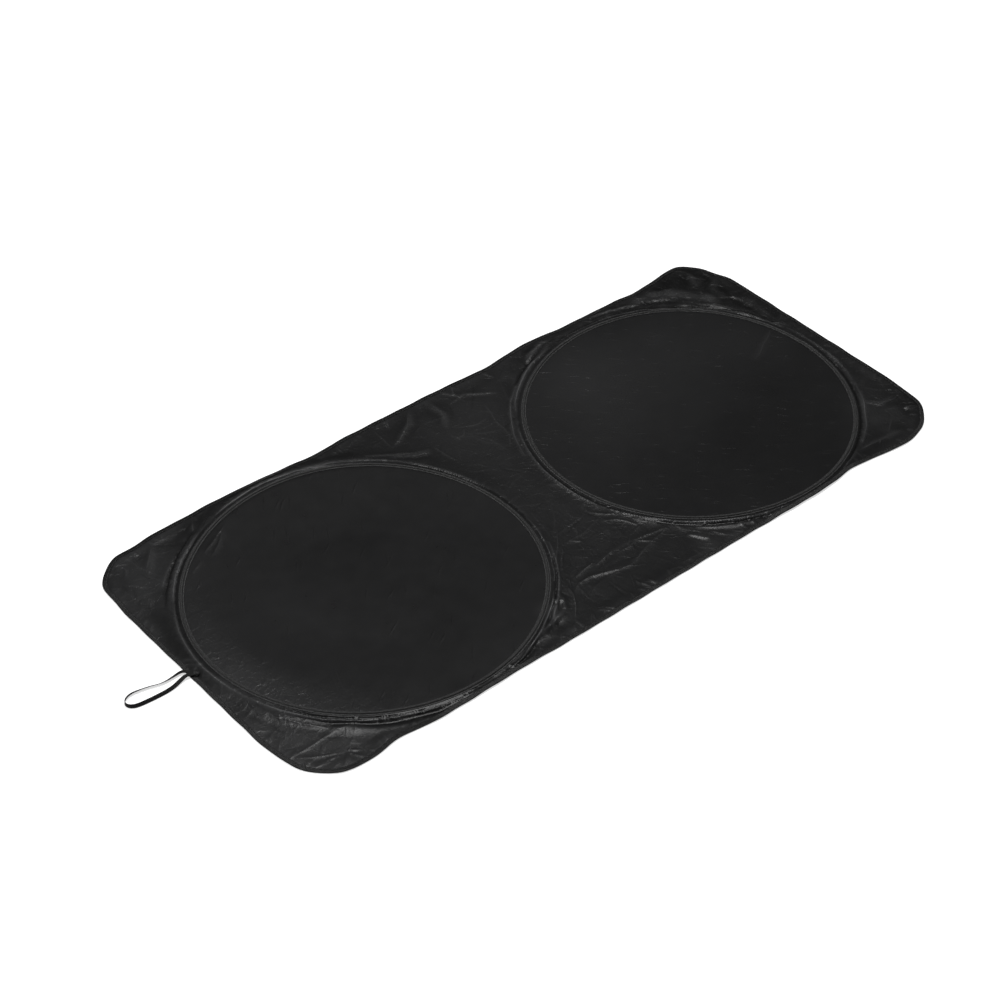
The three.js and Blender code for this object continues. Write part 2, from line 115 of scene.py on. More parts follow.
# Folds of the slack fabric: height, half width, then the points of the crest
FOLDS = [
    # Far corner on the right, the largest
    (6, 24, (488, 318), (560, 297), (612, 258), (660, 190)),
    (2, 7, (470, 300), (530, 292), (590, 262)),
    (2, 7, (590, 250), (640, 190), (668, 120)),
    (3.4, 14, (655, 328), (670, 300), (658, 256)),
    (3.4, 15, (712, 262), (676, 232), (672, 196)),
    (3, 14, (694, 205), (699, 150), (694, 80)),
    # Far side between the hoops
    (2.4, 11, (-178, 256), (-135, 227), (-100, 206), (-70, 198)),
    (1.8, 12, (-28, 314), (-50, 284), (-110, 252)),
    (1.8, 12, (11, 322), (12, 262), (-6, 232)),
    (0.8, 8, (48, 312), (72, 288), (134, 249)),
    (5, 18, (232, 287), (280, 303), (340, 314)),
    # Near side between the hoops
    (0.5, 9, (-100, -218), (-50, -212), (0, -207), (55, -210), (116, -222)),
    (0.5, 9, (-114, -236), (-78, -231), (-38, -242), (0, -252), (66, -233), (112, -223)),
    (1.0, 7, (128, -258), (152, -292)),
    (1.8, 9, (82, -168), (126, -214), (186, -257)),
    # Crumpled patch beside the left hoop
    (2.4, 7, (-194, -270), (-174, -252), (-158, -234)),
    (2.0, 6, (-184, -246), (-166, -240), (-148, -248)),
    (2.0, 7, (-162, -264), (-150, -250), (-146, -232)),
    (1.6, 6, (-204, -282), (-186, -272), (-170, -274)),
    # Near corner on the left
    (0.3, 6, (-718, -245), (-620, -238), (-560, -262), (-532, -276)),
    (0.3, 8, (-714, -248), (-668, -273), (-636, -281)),
    (0.5, 8, (-536, -274), (-488, -292), (-430, -306)),
    (2.2, 10, (-262, -289), (-205, -279), (-152, -262)),
    (-0.8, 20, (-692, -148), (-652, -214), (-622, -232)),
    # Near corner on the right
    (1.8, 10, (524, -298), (566, -294), (636, -306)),
    (1.6, 10, (640, -204), (664, -226), (716, -226)),
    (2.4, 13, (686, -258), (708, -286)),
    # Far corner on the left
    (1.2, 10, (-676, 300), (-600, 309), (-560, 306)),
    (1.1, 10, (-644, 246), (-612, 284), (-600, 306)),
    (2.2, 12, (-530, 282), (-508, 318)),
]

# Hard creases left from folding: height, then the points of the line
CREASE_HALF_WIDTH = 2.1
CREASES = [
    # Near side between the hoops
    (0.9, (-95, -217), (-70, -212), (-50, -210)),
    (0.9, (-46, -217), (-20, -212), (0, -207)),
    (0.8, (0, -217), (30, -218), (48, -214)),
    (0.7, (46, -210), (58, -222), (70, -234)),
    (0.8, (48, -211), (85, -218), (113, -223)),
    (0.8, (70, -233), (95, -229), (113, -223)),
    (0.8, (16, -249), (42, -241), (70, -233)),
    (1.0, (-120, -243), (-100, -232), (-75, -232), (-50, -240), (-25, -249), (0, -253)),
    (0.6, (-168, -298), (-142, -270), (-125, -245), (-120, -225)),
    (0.8, (-38, -106), (-62, -135), (-85, -158), (-108, -180), (-130, -203)),
    (0.6, (-100, -190), (-84, -170), (-62, -148)),
    (0.6, (38, -138), (60, -152), (72, -170), (78, -188)),
    (0.5, (35, -108), (50, -125), (68, -142)),
    (0.5, (-20, -104), (-12, -120), (-15, -132), (-28, -148)),
    (0.5, (-40, -140), (-25, -157)),
    (0.8, (130, -262), (140, -280), (150, -292)),
    (0.7, (165, -280), (178, -300)),
    (0.5, (-22, -284), (-20, -298), (-12, -310)),
    (0.7, (30, -312), (45, -305), (60, -312)),
    (0.8, (70, -306), (98, -308), (130, -310)),
    # Far side between the hoops
    (0.7, (-120, 250), (-95, 258), (-60, 280), (-45, 297), (-32, 312)),
    (0.6, (-120, 248), (-118, 275), (-116, 310)),
    (0.5, (-145, 273), (-122, 276)),
    (0.8, (40, 281), (80, 287), (95, 275), (133, 250)),
    (0.6, (60, 312), (66, 297), (68, 270)),
    (0.5, (12, 312), (13, 285), (10, 262), (-8, 245)),
    (0.6, (-13, 203), (-8, 188)),
    (0.6, (-12, 197), (3, 194), (14, 207)),
    (0.5, (5, 222), (25, 210), (42, 203), (70, 206)),
    (0.6, (90, 240), (84, 215), (74, 190), (72, 160), (66, 140)),
    (0.5, (-60, 205), (-58, 175), (-52, 145)),
    (0.5, (45, 115), (75, 150)),
    (0.4, (66, 138), (76, 116)),
    # Near corner on the left
    (0.35, (-718, -245), (-690, -243), (-640, -241), (-610, -243)),
    (0.4, (-718, -246), (-700, -252), (-672, -270), (-640, -285)),
    (0.7, (-705, -208), (-712, -228), (-719, -244)),
    (0.6, (-686, -281), (-650, -286)),
    (0.8, (-632, -285), (-618, -297)),
    (0.7, (-685, -150), (-668, -172), (-655, -195), (-640, -215), (-625, -232)),
    (0.7, (-612, -210), (-603, -225), (-585, -238), (-583, -250)),
    (0.6, (-646, -168), (-636, -190), (-622, -205)),
    # Far corner on the left
    (0.7, (-642, 258), (-625, 275), (-603, 300)),
    (0.5, (-648, 245), (-640, 220), (-636, 205)),
    (0.7, (-652, 200), (-615, 234), (-588, 252)),
    (0.6, (-532, 278), (-520, 298), (-508, 316)),
    (0.5, (-675, 300), (-668, 280), (-680, 262)),
    (0.5, (-692, 250), (-665, 220)),
    (0.5, (-690, 175), (-672, 195)),
    # Far corner on the right
    (1.0, (490, 296), (530, 300), (560, 284)),
    (0.8, (520, 268), (560, 270), (590, 278)),
    (0.8, (575, 245), (600, 222), (612, 212)),
    (1.6, (660, 205), (690, 190), (694, 165)),
    (1.4, (618, 312), (640, 322), (652, 308)),
    (1.2, (655, 300), (668, 280), (690, 262)),
    (1.0, (700, 225), (684, 245), (664, 240)),
    # Near corner on the right
    (0.9, (640, -205), (655, -225), (690, -232), (716, -225)),
    (1.6, (700, -200), (716, -222)),
    (2.0, (680, -262), (700, -268), (706, -282)),
    (2.0, (676, -280), (690, -295)),
    (0.8, (530, -292), (560, -296), (600, -300)),
    (0.6, (610, -290), (640, -270)),
    (0.7, (645, -170), (668, -152)),
]

# One long crease on each taut disc, and a fan of them by the rim on the near left
DISC_CREASES = [
    (1.1, 2.5, (575, 18), (598, 26), (620, 40), (645, 51), (668, 66)),
    (0.5, 2.2, (-545, 226), (-515, 240), (-478, 262)),
    (0.45, 2.2, (-538, 212), (-510, 232), (-486, 256)),
    (0.35, 2.2, (-590, 196), (-560, 214)),
    (0.25, 2, (-505, -258), (-488, -226)),
    (0.25, 2, (-560, -182), (-540, -132)),
    (0.25, 2, (200, 262), (240, 275), (270, 270)),
]

# Crest line of the carry loop: x, y, height of its middle over the floor, and how far it leans inwards
# from standing on its edge, in degrees
LOOP_ROUTE = [
    (-718.5, -7, 4.45, 90), (-724, 5, 4.45, 90), (-731, 15, 4.3, 86), (-738, 18, 3.6, 76),
    (-749.5, 17.6, 2.9, 62), (-764.6, 16.9, 2.9, 50), (-778, 18.6, 3, 43), (-789.6, 22.4, 3.1, 41),
    (-800, 25, 3.2, 39), (-810, 27, 3.3, 34), (-820, 28, 3.5, 26), (-829.1, 27, 3.7, 18),
    (-836.9, 23.4, 3.8, 10), (-842.1, 18, 3.8, 4), (-843.6, 11.9, 3.8, 10), (-840.6, 5.6, 3.7, 22),
    (-833.2, 1, 3.5, 34), (-822.6, -1.1, 3.2, 42), (-806.7, -2.4, 3, 48), (-790.3, -3.2, 2.9, 51),
    (-775.8, -3.3, 2.9, 55), (-761.3, -1.6, 3.1, 62), (-747, 2.2, 3.8, 74), (-736.5, 4.2, 5.2, 86),
    (-728, 1.5, 5.95, 90), (-715, -4.5, 6.0, 90),
]


# Heights and outlines

def smooth(t):
    t = np.clip(t, 0, 1)
    return t * t * (3 - 2 * t)


def with_spots(value, spots, x, y):
    """A value with soft round spots added to it. Each has a place, how much, and a reach."""
    for place_x, place_y, much, reach in spots:
        value = value + much * np.exp(-((x - place_x) ** 2 + (y - place_y) ** 2) / reach ** 2)
    return value


def unit(vectors):
    return vectors / np.linalg.norm(vectors, axis=1)[:, None]


def turned_from(angle, start):
    """The shorter way round from one angle to another, as a signed angle."""
    return (angle - start + math.pi) % (2 * math.pi) - math.pi


def hoop_radius(angle):
    return HOOP_HALF_LENGTH * HOOP_HALF_WIDTH / np.hypot(HOOP_HALF_WIDTH * np.cos(angle),
                                                         HOOP_HALF_LENGTH * np.sin(angle))


def hoop_lift(hoop, angle):
    lift = np.full_like(angle, hoop["rise"])
    for waves, height, crest in hoop["warp"]:
        lift += height * np.cos(waves * (angle - math.radians(crest)))
    return np.maximum(0, lift)


def from_hoop(hoop, x, y):
    """The angle round a hoop, and how far outside its wire a point lies."""
    angle = np.arctan2(y - hoop["y"], x - hoop["x"])
    return angle, np.hypot(x - hoop["x"], y - hoop["y"]) - hoop_radius(angle)


def outside_hoops(x, y):
    return np.minimum(*(from_hoop(hoop, x, y)[1] for hoop in HOOPS.values()))


def ring(hoop, out, count, turned=0.0):
    """Points round a hoop, so far outside its wire."""
    angle = (np.arange(count) + turned) * 2 * math.pi / count
    radius = hoop_radius(angle) + out
    return np.stack([hoop["x"] + radius * np.cos(angle), hoop["y"] + radius * np.sin(angle)], 1)


def inset(x, y):
    """How far a point lies inside the cut edge."""
    dx = np.abs(x) - (PANEL_LENGTH / 2 - CORNER_RADIUS)
    dy = np.abs(y) - (PANEL_WIDTH / 2 - CORNER_RADIUS)
    outside = np.hypot(np.maximum(dx, 0), np.maximum(dy, 0)) + np.minimum(np.maximum(dx, dy), 0)
    edge = with_spots(CORNER_RADIUS - outside, EDGE_SWELLS, x, y)
    turn = 2 * math.pi / PUCKER_LENGTH
    return edge + PUCKER_DEPTH * (np.sin(x * turn) + np.sin(y * turn + 1)) / 2


def hoop_share(angle, out):
    radius = hoop_radius(angle)
    inside = np.maximum(0, (radius + out - DISC_FLAT_RADIUS) / (radius - BAND_HALF - DISC_FLAT_RADIUS)) ** 1.3
    outside = np.maximum(0, 1 - (out - BAND_HALF) / OUTSIDE_REACH) ** 2
    return np.where(np.abs(out) <= BAND_HALF, 1, np.where(out > 0, outside, inside))


def ridge(line, x, y, profile):
    """Height of one fold or crease: profile(distance / half width), gone at the line's two ends."""
    height, half_width, *crest = line
    low = np.min(crest, axis=0) - half_width
    high = np.max(crest, axis=0) + half_width
    lift = np.zeros_like(x)
    near = np.nonzero((x > low[0]) & (x < high[0]) & (y > low[1]) & (y < high[1]))[0]
    if not len(near):
        return lift
    px, py = x[near], y[near]
    nearest = np.full(len(near), np.inf)
    along = np.zeros(len(near))
    for i, ((ax, ay), (bx, by)) in enumerate(zip(crest, crest[1:])):
        run = (bx - ax) ** 2 + (by - ay) ** 2
        t = np.clip(((px - ax) * (bx - ax) + (py - ay) * (by - ay)) / run, 0, 1)
        distance = np.hypot(px - ax - t * (bx - ax), py - ay - t * (by - ay))
        along = np.where(distance < nearest, (i + t) / (len(crest) - 1), along)
        nearest = np.minimum(distance, nearest)
    ends = np.sqrt(np.maximum(0, np.sin(math.pi * along)))
    lift[near] = height * profile(np.minimum(1, nearest / half_width)) * ends
    return lift


def round_crest(t):
    return (1 - t * t) ** 2


def fold_crest(t):
    return 0.45 * (1 - t) ** 1.3 + 0.55 * (1 - t * t) ** 2


def sharp_crest(t):
    return (1 - t) ** 1.25


def ground(x, y):
    """Height of the fabric's underside with no folds, how slack it is, and how near the edge."""
    lift = np.zeros_like(x)
    slack = np.ones_like(x)
    for hoop in HOOPS.values():
        angle, out = from_hoop(hoop, x, y)
        lift = np.maximum(lift, hoop_lift(hoop, angle) * hoop_share(angle, out))
        slack = slack * smooth((out - BAND_HALF) / (1.5 * BAND_HALF))
    near_edge = 1 - smooth((inset(x, y) - HEM_DEPTH) / EDGE_REACH)
    turn = 2 * math.pi / RIPPLE_LENGTH
    ripple = RIPPLE_HEIGHT * (2 + np.sin(x * turn + 0.7) + np.sin(y * turn - 1.4)) / 4
    lift = np.maximum(lift, near_edge * HEM_LIFT) + slack * near_edge * ripple
    return lift, slack, near_edge


def fabric_top(x, y, profile=round_crest):
    """Height of the fabric's upper face, with its folds."""
    lift, slack, near_edge = ground(x, y)
    free = slack * (1 - near_edge * HEM_HOLD)
    for fold in FOLDS:
        lift = lift + free * ridge(fold, x, y, profile)
    return FABRIC_LIFT + np.maximum(lift, near_edge * HEM_LIFT)


def outline(depth, spacing):
    """Points round the panel, so far inside the cut edge, with the outward direction at each."""
    half = np.array([PANEL_LENGTH, PANEL_WIDTH]) / 2 - CORNER_RADIUS
    points = []
    directions = []
    sides = [(-90, (1, -1)), (0, (1, 1)), (90, (-1, 1)), (180, (-1, -1))]
    for (start, corner), (_, following) in zip(sides, sides[1:] + sides[:1]):
        middle = half * corner
        steps = int(CORNER_RADIUS * math.pi / 2 / spacing)
        for angle in np.radians(start + 90 * np.arange(steps) / steps):
            direction = np.array([math.cos(angle), math.sin(angle)])
            points.append(middle + CORNER_RADIUS * direction)
            directions.append(direction)
        direction = np.array([math.cos(math.radians(start + 90)), math.sin(math.radians(start + 90))])
        begin = middle + CORNER_RADIUS * direction
        end = half * following + CORNER_RADIUS * direction
        steps = int(np.linalg.norm(end - begin) / spacing)
        for step in range(steps):
            points.append(begin + (end - begin) * step / steps)
            directions.append(direction)
    points = np.array(points)
    directions = np.array(directions)
    for _ in range(12):
        points += directions * (inset(points[:, 0], points[:, 1]) - depth)[:, None]
    return points, directions


def grid(spacing, rng):
    """Points of a triangle grid over the panel, each a little off its place."""
    half = np.array([PANEL_LENGTH, PANEL_WIDTH]) / 2 + 20
    xs = np.arange(-half[0], half[0], spacing)
    ys = np.arange(-half[1], half[1], spacing * math.sqrt(3) / 2)
    x, y = np.meshgrid(xs, ys)
    x = x + (np.arange(len(ys)) % 2)[:, None] * spacing / 2
    return np.stack([x.ravel(), y.ravel()], 1) + rng.uniform(-0.22, 0.22, (x.size, 2)) * spacing


def triangulate(edge, rows):
    """Triangles over the points, inside the closed line edge."""
    points = np.concatenate([edge, *rows])
    count = len(edge)
    border = [(i, (i + 1) % count) for i in range(count)]
    verts, _, faces, *_ = delaunay_2d_cdt([Vector(p) for p in points], border, [], 1, 1e-4)
    return np.array([tuple(v) for v in verts]), np.array([tuple(f) for f in faces])


# Meshes

def rectangle(half_length, half_width):
    """Corners of a level rectangle round the origin."""
    return [(-half_length, -half_width, 0), (half_length, -half_width, 0), (half_length, half_width, 0),
            (-half_length, half_width, 0)]


def metres(points):
    return (np.asarray(points, float) + PANEL_MIDDLE) * MM


def new_object(name, points, faces, material=None):
    """A smooth-shaded object at the origin, from points in millimetres."""
    mesh = bpy.data.meshes.new(name)
    mesh.from_pydata(metres(points).tolist(), [], [list(map(int, face)) for face in faces])
    mesh.polygons.foreach_set("use_smooth", [True] * len(faces))
    mesh.update()
    if material:
        mesh.materials.append(material)
    obj = bpy.data.objects.new(name, mesh)
    bpy.context.scene.collection.objects.link(obj)
    return obj


def made_plain(obj):
    """Turns an object with modifiers into a plain mesh."""
    depsgraph = bpy.context.evaluated_depsgraph_get()
    mesh = bpy.data.meshes.new_from_object(obj.evaluated_get(depsgraph))
    obj.modifiers.clear()
    old = obj.data
    obj.data = mesh
    name = old.name
    bpy.data.meshes.remove(old)
    mesh.name = name
    return obj


def swept(name, sections, material, closed, along=None, across=None):
    """A body through equal rings of points. along and across give its UV map, in metres."""
    rings, count = sections.shape[:2]
    faces = []
    uvs = []
    last = rings if closed else rings - 1
    for i in range(last):
        here, following = i * count, (i + 1) % rings * count
        for j in range(count):
            k = (j + 1) % count
            faces.append((here + j, here + k, following + k, following + j))
            if along is not None:
                u = (along[i], along[i + 1])
                v = (across[j], across[j + 1])
                uvs += [(u[0], v[0]), (u[0], v[1]), (u[1], v[1]), (u[1], v[0])]
    if not closed:
        faces.append(tuple(range(count))[::-1])
        faces.append(tuple(range((rings - 1) * count, rings * count)))
        uvs += [(along[0], v) for v in across[:count][::-1]] if along is not None else []
        uvs += [(along[rings - 1], v) for v in across[:count]] if along is not None else []
    obj = new_object(name, sections.reshape(-1, 3), faces, material)
    if along is not None:
        layer = obj.data.uv_layers.new(name="UVMap")
        layer.data.foreach_set("uv", (np.array(uvs) * MM).ravel())
    return facing_out(obj)


def facing_out(obj):
    """Turns a closed mesh so that its faces point outwards."""
    mesh = obj.data
    mesh.calc_loop_triangles()
    corners = np.empty(len(mesh.loop_triangles) * 3, int)
    mesh.loop_triangles.foreach_get("vertices", corners)
    places = np.empty(len(mesh.vertices) * 3)
    mesh.vertices.foreach_get("co", places)
    a, b, c = places.reshape(-1, 3)[corners.reshape(-1, 3)].transpose(1, 0, 2)
    if np.einsum("ij,ij->i", a, np.cross(b, c)).sum() < 0:
        mesh.flip_normals()
    return obj


def lengths_along(points, closed=False):
    """Distance along a line of points, with one more at the end where it closes."""
    steps = np.linalg.norm(np.diff(points, axis=0, append=points[:1]), axis=1)
    total = np.concatenate([[0], np.cumsum(steps)])
    return total if closed else total[:-1]


def across_section(section):
    """Distance round a tape's section, with one millimetre for the step back to its first point."""
    around = lengths_along(section)
    return np.append(around, around[-1] + 1)


def wobble(length_along, whole, waves, rng):
    """A smooth random value from -1 to 1 along a closed line."""
    value = np.zeros_like(length_along)
    low, high = waves
    for _ in range(9):
        turns = round(whole / rng.uniform(low, high))
        value += np.sin(2 * math.pi * turns * length_along / whole + rng.uniform(0, 2 * math.pi))
    return value / 4.5


# Shader maths

class Signal:
    """A value in a material, on which plain arithmetic adds Math nodes."""

    def __init__(self, material, socket):
        self.material = material
        self.socket = socket

    def math(self, operation, *others):
        return self.material.node("ShaderNodeMath", {"operation": operation}, [self, *others])

    def __add__(self, other):
        return self.math("ADD", other)

    def __mul__(self, other):
        return self.math("MULTIPLY", other)

    def __sub__(self, other):
        return self.math("SUBTRACT", other)

    def __truediv__(self, other):
        return self.math("DIVIDE", other)

    def __neg__(self):
        return self.math("MULTIPLY", -1.0)

    def __rsub__(self, other):
        return self.material.node("ShaderNodeMath", {"operation": "SUBTRACT"}, [other, self])

    __radd__ = __add__
    __rmul__ = __mul__

    def clamped(self):
        return self.material.node("ShaderNodeClamp", {}, [self])

    def between(self, low, high):
        """0 below low, 1 above high, smooth between them."""
        return self.material.node("ShaderNodeMapRange", {"interpolation_type": "SMOOTHSTEP"},
                                  {"Value": self, "From Min": low, "From Max": high})


def join(tree, value, socket):
    """Links a signal or another node's socket to a socket, or sets the socket's value."""
    if isinstance(value, Signal):
        value = value.socket
    if isinstance(value, bpy.types.NodeSocket):
        tree.links.new(value, socket)
    elif socket.type == "RGBA" and len(value) == 3:
        socket.default_value = (*value, 1)
    else:
        socket.default_value = value


def add_node(tree, kind, settings=None, inputs=()):
    """Adds a node. inputs is a list of values or links in socket order, or a dict by socket name."""
    node = tree.nodes.new(kind)
    for name, value in (settings or {}).items():
        setattr(node, name, value)
    for key, value in inputs.items() if isinstance(inputs, dict) else enumerate(inputs):
        join(tree, value, node.inputs[key])
    return node


class Finish:
    """A material whose nodes are added in code."""

    def __init__(self, name, **settings):
        self.material = bpy.data.materials.new(name)
        self.material.use_nodes = True
        self.tree = self.material.node_tree
        self.shader = self.tree.nodes["Principled BSDF"]
        for socket, value in settings.items():
            self.shader.inputs[socket.replace("_", " ")].default_value = value

    def node(self, kind, settings=None, inputs=(), output=0):
        return Signal(self, add_node(self.tree, kind, settings, inputs).outputs[output])

    def place(self):
        return self.node("ShaderNodeTexCoord", output="Object")

    def uv(self):
        return self.node("ShaderNodeTexCoord", output="UV")

    def moved(self, vector, scale=(1, 1, 1), turn=(0, 0, 0)):
        return self.node("ShaderNodeMapping", {}, {"Vector": vector, "Scale": scale, "Rotation": turn})

    def parts(self, vector):
        split = add_node(self.tree, "ShaderNodeSeparateXYZ", {}, [vector])
        return [Signal(self, output) for output in split.outputs]

    def noise(self, vector, scale, detail):
        return self.node("ShaderNodeTexNoise", {}, {"Vector": vector, "Scale": scale, "Detail": detail})

    def mixed(self, share, first, second):
        node = self.tree.nodes.new("ShaderNodeMix")
        node.data_type = "RGBA"
        for key, value in (("Factor_Float", share), ("A_Color", first), ("B_Color", second)):
            socket = next(s for s in node.inputs if s.identifier == key)
            join(self.tree, value, socket)
        return Signal(self, next(s for s in node.outputs if s.identifier == "Result_Color"))

    def bump(self, height, distance, strength=1.0, below=None):
        inputs = {"Height": height, "Distance": distance, "Strength": strength}
        if below:
            inputs["Normal"] = below
        return self.node("ShaderNodeBump", {}, inputs)

    def finish(self, **links):
        for socket, value in links.items():
            join(self.tree, value, self.shader.inputs[socket.replace("_", " ")])
        return self.material


def weave(finish, vector, pitch):
    """Height of a plain weave: over and under along both threads."""
    x, y, _ = finish.parts(vector)
    turn = math.pi / (pitch * MM)
    warp = (x * turn).math("SINE")
    weft = (y * turn).math("SINE")
    return warp * weft * 0.5 + 0.5


# Width of a short crinkle, as a share of its cell
DASH_HALF_WIDTH = 0.36


def dashes(finish, flat, turn, kept, scale=(13, 120, 1)):
    """Height of short straight crinkles that run one way, of which a share is kept."""
    turned = finish.moved(flat, turn=(0, 0, turn))
    stretched = finish.moved(turned, scale=scale)
    cells = add_node(finish.tree, "ShaderNodeTexVoronoi", {"voronoi_dimensions": "2D"},
                     {"Vector": stretched, "Scale": 1.0}).outputs
    chance, *_ = finish.parts(cells["Color"])
    crest = (1 - Signal(finish, cells["Distance"]) / DASH_HALF_WIDTH).clamped()
    return crest * crest * chance.between(1 - kept, 1.02 - kept)


# How steeply the facets of crushed foil tilt, and how wide the level strip between them is
FACET_TILT = 2.4
FACET_BORDER = 0.08


def crushed(finish, vector, scale):
    """Height of crushed foil: flat facets that tilt each its own way, level where they meet."""
    cells = add_node(finish.tree, "ShaderNodeTexVoronoi", {"feature": "F1"},
                     {"Vector": vector, "Scale": scale}).outputs
    border = finish.node("ShaderNodeTexVoronoi", {"feature": "DISTANCE_TO_EDGE"},
                         {"Vector": vector, "Scale": scale})
    tilt = finish.node("ShaderNodeVectorMath", {"operation": "SUBTRACT"}, [cells["Color"], (0.5, 0.5, 0.5)])
    reach = finish.node("ShaderNodeVectorMath", {"operation": "SUBTRACT"}, [vector, cells["Position"]])
    slope = finish.node("ShaderNodeVectorMath", {"operation": "DOT_PRODUCT"}, [tilt, reach], output="Value")
    return slope * scale * FACET_TILT * border.between(0, FACET_BORDER)


def panel_finish():
    """Thin black taffeta: close weave, soft gloss, fine crinkles where it is slack."""
    finish = Finish("black_taffeta", IOR=1.5, Specular_IOR_Level=0.17, Sheen_Weight=0.03,
                    Sheen_Roughness=0.45)
    place = finish.place()
    slack = finish.node("ShaderNodeAttribute", {"attribute_name": "slack"}, output="Fac")
    painted_light_and_shade = finish.node("ShaderNodeAttribute", {"attribute_name": "painted_light_and_shade"}, output="Fac")
    flat = finish.moved(place, scale=(1, 1, 0))
    bent = finish.noise(flat, 22.0, detail=3).socket.node.outputs["Color"]
    shifted = finish.node("ShaderNodeMix", {"data_type": "VECTOR"}, {0: 0.014, 4: flat, 5: bent}, output=1)
    crinkle = crushed(finish, shifted, 52.0) + 0.5 * crushed(finish, shifted, 120.0)
    across, *_ = finish.parts(flat)
    on_discs = dashes(finish, shifted, 0.56, 0.16) + dashes(finish, shifted, 0.72, 0.16)
    on_discs = on_discs + dashes(finish, shifted, 0.9, 0.14, (22, 130, 1))
    on_discs = on_discs * (0.1 + 0.9 * across.between(-0.1, 0.05)) * (1 - slack)
    where_slack = dashes(finish, shifted, -0.75, 0.3) + dashes(finish, shifted, -1.35, 0.3, (34, 130, 1))
    where_slack = where_slack + dashes(finish, shifted, 0.1, 0.3, (40, 140, 1))
    everywhere = dashes(finish, shifted, -0.95, 0.07) + dashes(finish, shifted, -0.6, 0.06)
    cloth = weave(finish, shifted, 0.35)
    normal = finish.bump(crinkle, 0.0004, slack)
    normal = finish.bump(on_discs + everywhere, 0.00028, 0.9, below=normal)
    normal = finish.bump(where_slack, 0.0003, slack, below=normal)
    normal = finish.bump(cloth, 0.00001, 0.5, below=normal)
    tone = finish.noise(flat, 9.0, detail=4)
    colour = finish.mixed(tone.between(0.3, 0.7), (0.006, 0.006, 0.0062), (0.0074, 0.0074, 0.0076))
    # Painted sheen: slack fabric, and the loose rim inside the left hoop, are painted paler than the taut
    # discs
    colour = finish.mixed(slack.between(0, 1), colour, (0.0098, 0.0098, 0.01))
    # Painted light and shade: crests, creases and lit places are painted paler as painted highlight, the
    # palest paler still, and pockets, grooves and shaded places darker as painted shade
    colour = finish.mixed(painted_light_and_shade.clamped(), colour, (0.026, 0.026, 0.0265))
    colour = finish.mixed(painted_light_and_shade.between(1, PALEST_HIGHLIGHT), colour, (0.06, 0.06, 0.061))
    colour = finish.mixed((-painted_light_and_shade).clamped(), colour, (0.001, 0.001, 0.001))
    rough = finish.noise(flat, 35.0, detail=4)
    return finish.finish(Base_Color=colour, Roughness=0.25 + 0.08 * rough + 0.06 * slack, Normal=normal)


def ribbon_finish(name, low, high, rib, roughness, lengthwise=False):
    """Woven tape: ribs across it or along it, with the colour of its threads."""
    finish = Finish(name, IOR=1.5, Specular_IOR_Level=0.16, Sheen_Weight=0.03, Sheen_Roughness=0.4)
    uv = finish.uv()
    along, across, _ = finish.parts(uv)
    turn = 2 * math.pi / (rib * MM)
    ribs = ((across if lengthwise else along) * turn).math("SINE") * 0.5 + 0.5
    threads = weave(finish, uv, rib * 0.45)
    wear = finish.noise(finish.moved(uv, scale=(1, 4, 1)), 160.0, detail=4)
    normal = finish.bump(ribs, 0.00009, 0.8)
    normal = finish.bump(threads, 0.00004, 0.5, below=normal)
    normal = finish.bump(wear, 0.00025, 0.6, below=normal)
    colour = finish.mixed(wear.between(0.3, 0.7), low, high)
    return finish.finish(Base_Color=colour, Roughness=roughness + 0.12 * wear, Normal=normal)


def thread_finish():
    """Twisted sewing thread."""
    finish = Finish("black_thread", Specular_IOR_Level=0.5, Sheen_Weight=0.15)
    place = finish.place()
    twist = finish.noise(finish.moved(place, turn=(0, 0, 0.6)), 2600.0, detail=1)
    colour = finish.mixed(twist, (0.018, 0.018, 0.018), (0.034, 0.034, 0.034))
    return finish.finish(Base_Color=colour, Roughness=0.42 + 0.16 * twist,
                         Normal=finish.bump(twist, 0.00005, 0.6))


def steel_finish(name, colour, roughness, scratch_scale):
    """Drawn spring wire or a crimped sleeve, with fine marks."""
    finish = Finish(name, Metallic=1.0)
    place = finish.place()
    marks = finish.noise(place, scratch_scale, detail=4)
    stain = finish.noise(place, 40.0, detail=3)
    shade = finish.mixed(stain.between(0.35, 0.7), colour, tuple(0.72 * c for c in colour))
    return finish.finish(Base_Color=shade, Roughness=roughness + 0.2 * marks,
                         Normal=finish.bump(marks, 0.00002, 0.5))


# The camera stands at the near left, as the photographer did

def add_camera():
    right = Vector((0.75997, -0.64974, 0.01678))
    up = Vector((0.41466, 0.50457, 0.75727))
    back = Vector((-0.50049, -0.56855, 0.65288))
    data = bpy.data.cameras.new("camera")
    data.sensor_width = 36
    data.lens = 80.52
    data.clip_end = 40
    camera = bpy.data.objects.new("camera", data)
    camera.matrix_world = (Matrix.Translation((-2.02806, -2.21662, 2.56421))
                           @ Matrix((right, up, back)).transposed().to_4x4())
    bpy.context.scene.collection.objects.link(camera)
    bpy.context.scene.camera = camera


# The carry loop, a flat elastic strap

def through_points(points, steps):
    """A smooth line through points, with so many steps between each two."""
    points = np.asarray(points, float)
    padded = np.concatenate([2 * points[:1] - points[1:2], points, 2 * points[-1:] - points[-2:-1]])
    line = []
    for a, b, c, d in zip(padded, padded[1:], padded[2:], padded[3:]):
        for t in np.arange(steps) / steps:
            line.append(0.5 * (2 * b + (c - a) * t + (2 * a - 5 * b + 4 * c - d) * t ** 2
                               + (3 * b - a - 3 * c + d) * t ** 3))
    return np.array([*line, points[-1]])


